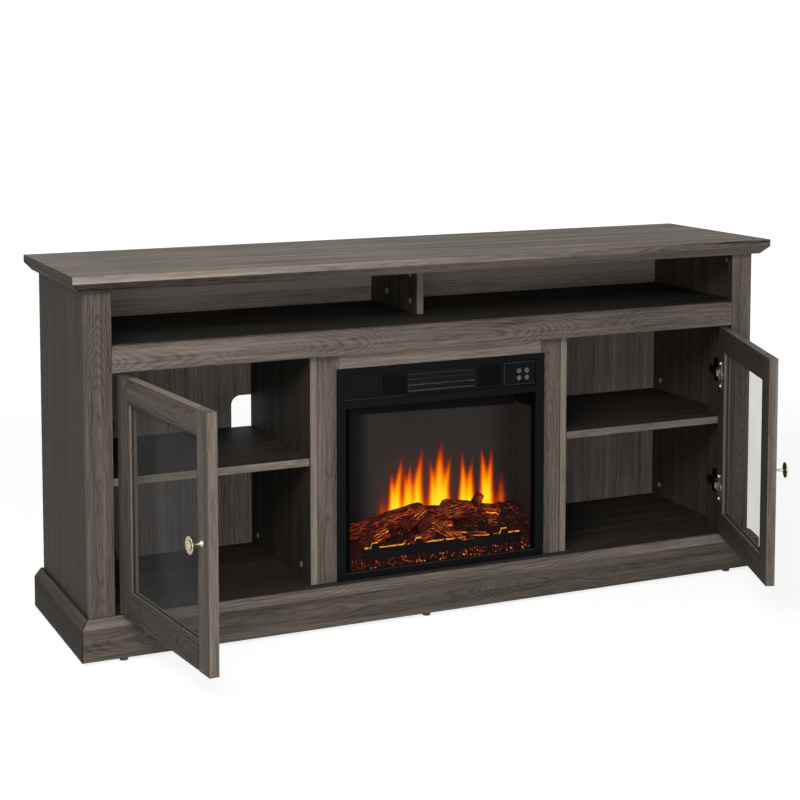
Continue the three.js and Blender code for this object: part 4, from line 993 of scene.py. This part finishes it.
def add_ribbon_rows(z0, y):
    """The lit crests of the corrugated heating ribbon, one behind every second opening; the dim
    rows are a darker copy of its metal, as painted shade.
    """
    verts, faces, faint = [], [], []
    for row, half, bright in RIBBON_ROWS:
        z = z0 + (row + 0.5) * LATTICE
        for i in range(1, int(2 * GRILLE_REACH / LATTICE) - 1, 2):
            x = -GRILLE_REACH + (i + 0.5) * LATTICE
            v, f = strip([(x, z - half), (x, z + half)], CREST_WIDTH, y)
            faces += [tuple(k + len(verts) for k in face) for face in f]
            faint.append(0 if bright else 1)
            verts += v
    mesh = plain_mesh("ribbon_rows", verts, faces)
    add_piece("ribbon_rows", mesh, ribbon)
    mesh.materials.append(ribbon_in_painted_shade)
    mesh.polygons.foreach_set("material_index", faint)


def add_key_field(middle, front):
    """A thin raised line round the keys, and painted highlights: light lines under the vent and
    on the sill.
    """
    x0, x1, z0, z1 = 0.140, 0.2105, middle - 0.0235, middle + 0.0225
    line, proud = 0.0008, 0.0005
    boxes = [
        ((x0, front - proud, z0), (x1, front, z0 + line)),
        ((x0, front - proud, z1 - line), (x1, front, z1)),
        ((x0, front - proud, z0 + line), (x0 + line, front, z1 - line)),
    ]
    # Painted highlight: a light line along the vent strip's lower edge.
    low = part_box("insert_vent_panel")[0]
    start = (low.x + 0.001, front - proud, low.z + 0.0006)
    boxes.append((start, (-0.082, front, low.z + 0.0014)))
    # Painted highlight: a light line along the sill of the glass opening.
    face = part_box("insert_bezel")[0]
    sill, reach = face.z + 0.015, 0.2115
    start = (-reach, face.y - 0.0002, sill - 0.0012)
    boxes.append((start, (reach, face.y + 0.001, sill - 0.0004)))
    add_piece("key_field", boxes_mesh("key_field", boxes), trim_and_highlight_coat)


# Logs: ends, radii and how much of each glows, in millimetres
LOGS = [
    ((-203, -84, 146), (-2, -82, 184), 21, 20, (0.0, 0.0)),
    ((36, -80, 184), (203, -84, 145), 20, 21, (0.55, 0.8)),
    ((110, -88, 184), (125, -85, 205), 12, 10, (0.0, 0.0)),
    ((-64, -112, 163), (-12, -103, 189), 14, 13, (0.45, 1.0)),
    ((30, -112, 180), (96, -102, 184), 14, 12, (0.0, 0.5)),
    ((-162, -124, 138), (-102, -115, 159), 14, 13, (0.45, 1.0)),
    ((-96, -130, 116), (0, -126, 146), 15, 14, (0.1, 0.35)),
    ((0, -120, 162), (70, -127, 120), 12, 12, (0.0, 1.0)),
    ((44, -131, 132), (158, -129, 116), 16, 13, (0.0, 0.6)),
    ((132, -108, 146), (203, -112, 126), 14, 14, (0.0, 0.2)),
    ((-196, -124, 118), (-128, -128, 122), 14, 12, (0.3, 0.6)),
    ((-24, -98, 182), (48, -100, 180), 15, 14, (0.0, 0.0)),
    ((-30, -112, 160), (46, -114, 152), 13, 13, (0.3, 0.9)),
]
LOG_STEPS, LOG_AROUND = 44, 44


def billet(length, thick, thin, lit_from, lit_to, seed):
    """Rings of a lumpy, ridged log along X, and how much each point glows."""
    rings, glow = [], []
    for i in range(LOG_STEPS + 1):
        along = i / LOG_STEPS
        end = min(1.0, 0.5 + 9 * min(along, 1 - along)) if 0 < i < LOG_STEPS else 0.42
        ring = []
        for turn in turns(LOG_AROUND):
            at = Vector((along * length * 26, math.cos(turn) * 1.1 + seed, math.sin(turn) * 1.1))
            lump = noise.noise(at) * 0.16 + noise.noise(at * 2.9) * 0.07
            ridge = abs(noise.noise(Vector((along * 2.2, turn * 2.6, seed * 3.1)))) * 0.2
            r = (thick + (thin - thick) * along) * end * (0.98 + lump - ridge)
            ring.append(((along - 0.5) * length, r * math.cos(turn), r * math.sin(turn)))
            inside = 1.0 if lit_from <= along <= lit_to and lit_to > lit_from else 0.0
            patchy = 0.5 + 0.9 * noise.noise(Vector((along * 5, turn * 1.5, seed * 7.7)))
            glow.append(inside * clamp(patchy))
        rings.append(ring)
    return rings, glow


def add_logs():
    for i, (start, end, thick, thin, lit) in enumerate(LOGS):
        a, b = Vector(start) / 1000, Vector(end) / 1000
        rings, glow = billet((b - a).length, thick / 1000, thin / 1000, *lit, i * 1.37)
        mesh = ring_mesh(f"log_{i}", rings)
        store(mesh, "lit", glow)
        turned = (b - a).to_track_quat("X", "Z").to_matrix().to_4x4()
        place = Matrix.Translation((a + b) / 2) @ turned
        made = add_piece(f"log_{i}", mesh, bark, "cabinet", place)
        if i == 0:
            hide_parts("log_set")


def bed_rise(x, y):
    """The ember bed's height: a step behind the grate, a slope, and a heap at the right."""
    rise = 0.010 + 0.036 * clamp((y + 0.1445) / 0.006) + 0.020 * clamp((y + 0.138) / 0.05)
    rise += 0.022 * clamp((x - 0.13) / 0.05) * clamp((y + 0.135) / 0.04)
    lump = 0.0055 * noise.noise(Vector((x * 95, y * 95, 1.7)))
    fine = 0.0032 * noise.noise(Vector((x * 260, y * 260, 4.1)))
    return max(0.001, rise + lump + fine)


def add_embers():
    low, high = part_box("log_set")
    front, past = low.y - 0.0055, 0.0145
    rings, glow = [], []
    columns, rows = 210, 60
    for row in range(rows + 1):
        y = front + (high.y - front) * (row / rows)
        ring = []
        for column in range(columns + 1):
            x = low.x - past + (high.x - low.x + 2 * past) * column / columns
            ring.append((x, y, low.z + bed_rise(x, y)))
            front_glow = math.exp(-(((y + 0.1475) / 0.006) ** 2)) * 0.55
            glow.append(front_glow if abs(x - 0.01) < 0.185 else front_glow * 0.3)
        rings.append(ring)
    foot, rear = ([(x, y, low.z) for x, y, _ in rings[i]] for i in (0, -1))
    mesh = ring_mesh("ember_bed", [foot, *rings, rear], False)
    unlit = [0.0] * (columns + 1)
    store(mesh, "lit", unlit + glow + unlit)
    add_piece("ember_bed", mesh, embers)


# Grate bar: a flat bar before the bed with four tabs, its ends as X and Z
GRATE_FOOT = [(-0.166, 0.1135), (0.189, 0.1105)]
GRATE_LEFT, GRATE_RIGHT = (-0.166, 0.134), (0.189, 0.130)
GRATE_TABS = (0.152, 0.060, -0.043, -0.140)
GRATE_FRONT, GRATE_THICK = -0.1445, 0.005


def grate_top():
    """The bar's upper line from right to left, with its four tabs."""
    (x0, z0), (x1, z1) = GRATE_LEFT, GRATE_RIGHT
    line = [(x1, z1)]
    for x in GRATE_TABS:
        z = z0 + (z1 - z0) * (x - x0) / (x1 - x0)
        line += [(x + 0.009, z), (x + 0.006, z + 0.010), (x - 0.006, z + 0.010), (x - 0.009, z)]
    return [*line, (x0, z0)]


def add_grate():
    outline = [*GRATE_FOOT, *grate_top()]
    shape = bmesh.new()
    front = [shape.verts.new((x, GRATE_FRONT, z)) for x, z in outline]
    rear = [shape.verts.new((x, GRATE_FRONT + GRATE_THICK, z)) for x, z in outline]
    shape.faces.new(front)
    shape.faces.new(list(reversed(rear)))
    for i in range(len(outline)):
        j = (i + 1) % len(outline)
        shape.faces.new((front[j], front[i], rear[i], rear[j]))
    bmesh.ops.recalc_face_normals(shape, faces=shape.faces)
    soften(add_piece("grate_bar", finished(shape, "grate_bar"), grate_iron), 0.0008)


def add_rim():
    """A ragged glowing ribbon that shows over the grate bar's upper line."""
    verts = []
    line = grate_top()
    for (x, z), (to_x, to_z) in zip(line, line[1:]):
        steps = max(1, int(abs(x - to_x) / 0.004))
        for j in range(steps):
            share = j / steps
            at = x + (to_x - x) * share
            high = 0.0021 + 0.0018 * noise.noise(Vector((at * 140, 3.3, 0.2)))
            level = z + (to_z - z) * share
            verts += [(at, -0.139, level - 0.004), (at, -0.1385, level + high)]
    faces = [(i, i + 1, i + 3, i + 2) for i in range(0, len(verts) - 2, 2)]
    add_piece("ember_rim", plain_mesh("ember_rim", verts, faces), rim)


# Flames: one soft sheet of light before the screen; each tongue is
# foot x, half width, tip x, tip height, strength, in millimetres
TONGUES = [
    (-64, 6.5, -68, 254, 0.95), (-54, 8.5, -40, 288, 1.0), (-33, 6, -38, 250, 0.75),
    (-27, 7.5, -22, 272, 0.9), (-8, 11, 6, 300, 1.0), (29, 8, 18, 270, 0.95),
    (41, 10, 44, 296, 1.0), (46, 9, 51, 326, 0.5), (55, 9, 74, 276, 0.95),
    (98, 8, 97, 282, 1.0), (113, 9, 121, 262, 0.95), (149, 8.5, 136, 290, 1.0),
    (158, 8, 171, 284, 0.9), (188, 9, 190, 240, 0.3), (-88, 10, -87, 222, 0.2),
]
FOOT = 172
FADE_ABOVE_TIP = 30
FLAME_SHEET = (-104, 206, FOOT, 352)


def warmth(x, z):
    """How bright the fire is at a point, from 0 to 1."""
    cold = 1.0
    for k, (foot, half, tip, top, strength) in enumerate(TONGUES):
        up = (z - FOOT) / (top + FADE_ABOVE_TIP - FOOT)
        if up >= 1.0:
            continue
        lean = max(0.0, (up - 0.2) / 0.8) ** 1.4
        centre = foot + (tip - foot) * lean + 1.2 * math.sin(up * 9 + k * 1.9) * up
        width = half * (1.08 - 0.72 * max(0.0, up) ** 1.1) + 1.0
        side = (x - centre) / width
        fade = min(1.0, (1 - up) * 1.15) ** 1.2
        cold *= 1 - strength * fade * math.exp(-(abs(side) ** 1.8))
        cold *= 1 - 0.1 * fade * math.exp(-((side / 2.3) ** 2))
    return 1 - cold


def add_flames():
    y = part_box("flame_screen")[0].y - 0.0012
    x0, x1, z0, z1 = FLAME_SHEET
    columns, rows = 186, 86
    verts, faces, glow = [], [], []
    for i in range(rows + 1):
        z = z0 + (z1 - z0) * i / rows
        for j in range(columns + 1):
            x = x0 + (x1 - x0) * j / columns
            verts.append((x / 1000, y, z / 1000))
            glow.append(warmth(x, z))
    for i in range(rows):
        for j in range(columns):
            a = i * (columns + 1) + j
            faces.append((a, a + 1, a + columns + 2, a + columns + 1))
    mesh = plain_mesh("flames", verts, faces)
    store(mesh, "glow", glow)
    add_piece("flames", mesh, flames)


add_knobs()
add_cams()
add_buttons()
add_vent_strip()
add_logs()
add_embers()
add_grate()
add_rim()
add_flames()


# Floor, world, lamps and camera
def seen_directly(net):
    """1 for rays that end in the picture or in a mirror or pane, 0 for light."""
    path = net.add("ShaderNodeLightPath").outputs
    mirror = net.math("MAXIMUM", path["Is Glossy Ray"], path["Is Transmission Ray"])
    return net.math("MAXIMUM", path["Is Camera Ray"], mirror)


def floor_material():
    """Pale grey under the lamps, and white to the camera; it keeps the shadow."""
    net = paint("floor_white")
    point, _ = net.place()
    away = net.add("ShaderNodeVectorMath", {0: point}, operation="LENGTH").outputs["Value"]
    fine = net.noise(point, 40.0, 2.0)
    tone = net.ramp(fine, [(0.3, rgb(168, 168, 168)), (0.7, rgb(174, 174, 174))])
    lit = net.add("ShaderNodeBsdfDiffuse", {"Color": tone}).outputs[0]
    strength = net.times(seen_directly(net), net.band(away, 1.3, 4.0, 0.8, 1.0))
    inputs = {"Color": (1, 1, 1, 1), "Strength": strength}
    white = net.add("ShaderNodeEmission", inputs).outputs[0]
    return net.surface(net.add("ShaderNodeAddShader", {0: lit, 1: white}).outputs[0])


def add_stage():
    reach = 14.0
    corners = [(-reach, -reach, 0), (reach, -reach, 0), (reach, reach, 0), (-reach, reach, 0)]
    mesh = plain_mesh("floor", corners, [(0, 1, 2, 3)])
    mesh.materials.append(floor_material())
    in_scene("floor", mesh)


def add_world():
    world = bpy.data.worlds.new("studio")
    bpy.context.scene.world = world
    net = Net(world)
    level = net.scale_add(seen_directly(net), 0.8, 0.2)
    back = net.add("ShaderNodeBackground", {"Color": (1, 1, 1, 1), "Strength": level}).outputs[0]
    net.add("ShaderNodeOutputWorld", {"Surface": back})


def add_lamp(name, place, aim, width, height, power):
    data = bpy.data.lights.new(name, "AREA")
    data.shape = "RECTANGLE"
    data.size = width
    data.size_y = height
    data.energy = power
    made = in_scene(name, data)
    made.location = place
    made.rotation_euler = (Vector(aim) - Vector(place)).to_track_quat("-Z", "Y").to_euler()


# Solved from the photo: the focal length is 1760.7 px in a picture 800 px wide
SENSOR = 36.0
LENS = 1760.7 / 800 * SENSOR
CAMERA_TILT, CAMERA_TURN = 4.8487, -24.7105


def add_camera():
    data = bpy.data.cameras.new("camera")
    data.sensor_width = SENSOR
    data.lens = LENS
    data.shift_y = -0.25
    data.clip_end = 100
    made = in_scene("camera", data)
    made.location = (-1.5371, -3.2961, 1.1258)
    made.rotation_euler = (math.radians(90 - CAMERA_TILT), 0, math.radians(CAMERA_TURN))
    bpy.context.scene.camera = made


add_stage()
add_world()
add_lamp("key", (-1.6, -2.0, 1.85), (-0.35, -0.1, 0.45), 1.5, 0.8, 43)
add_lamp("overhead", (-0.3, 0.2, 3.4), (0, 0, 0.5), 2.2, 1.6, 18)
add_lamp("front", (-1.3, -3.2, 0.7), (-0.35, 0, 0.4), 2.0, 0.9, 34)
add_camera()
bpy.context.scene.view_settings.view_transform = "Standard"
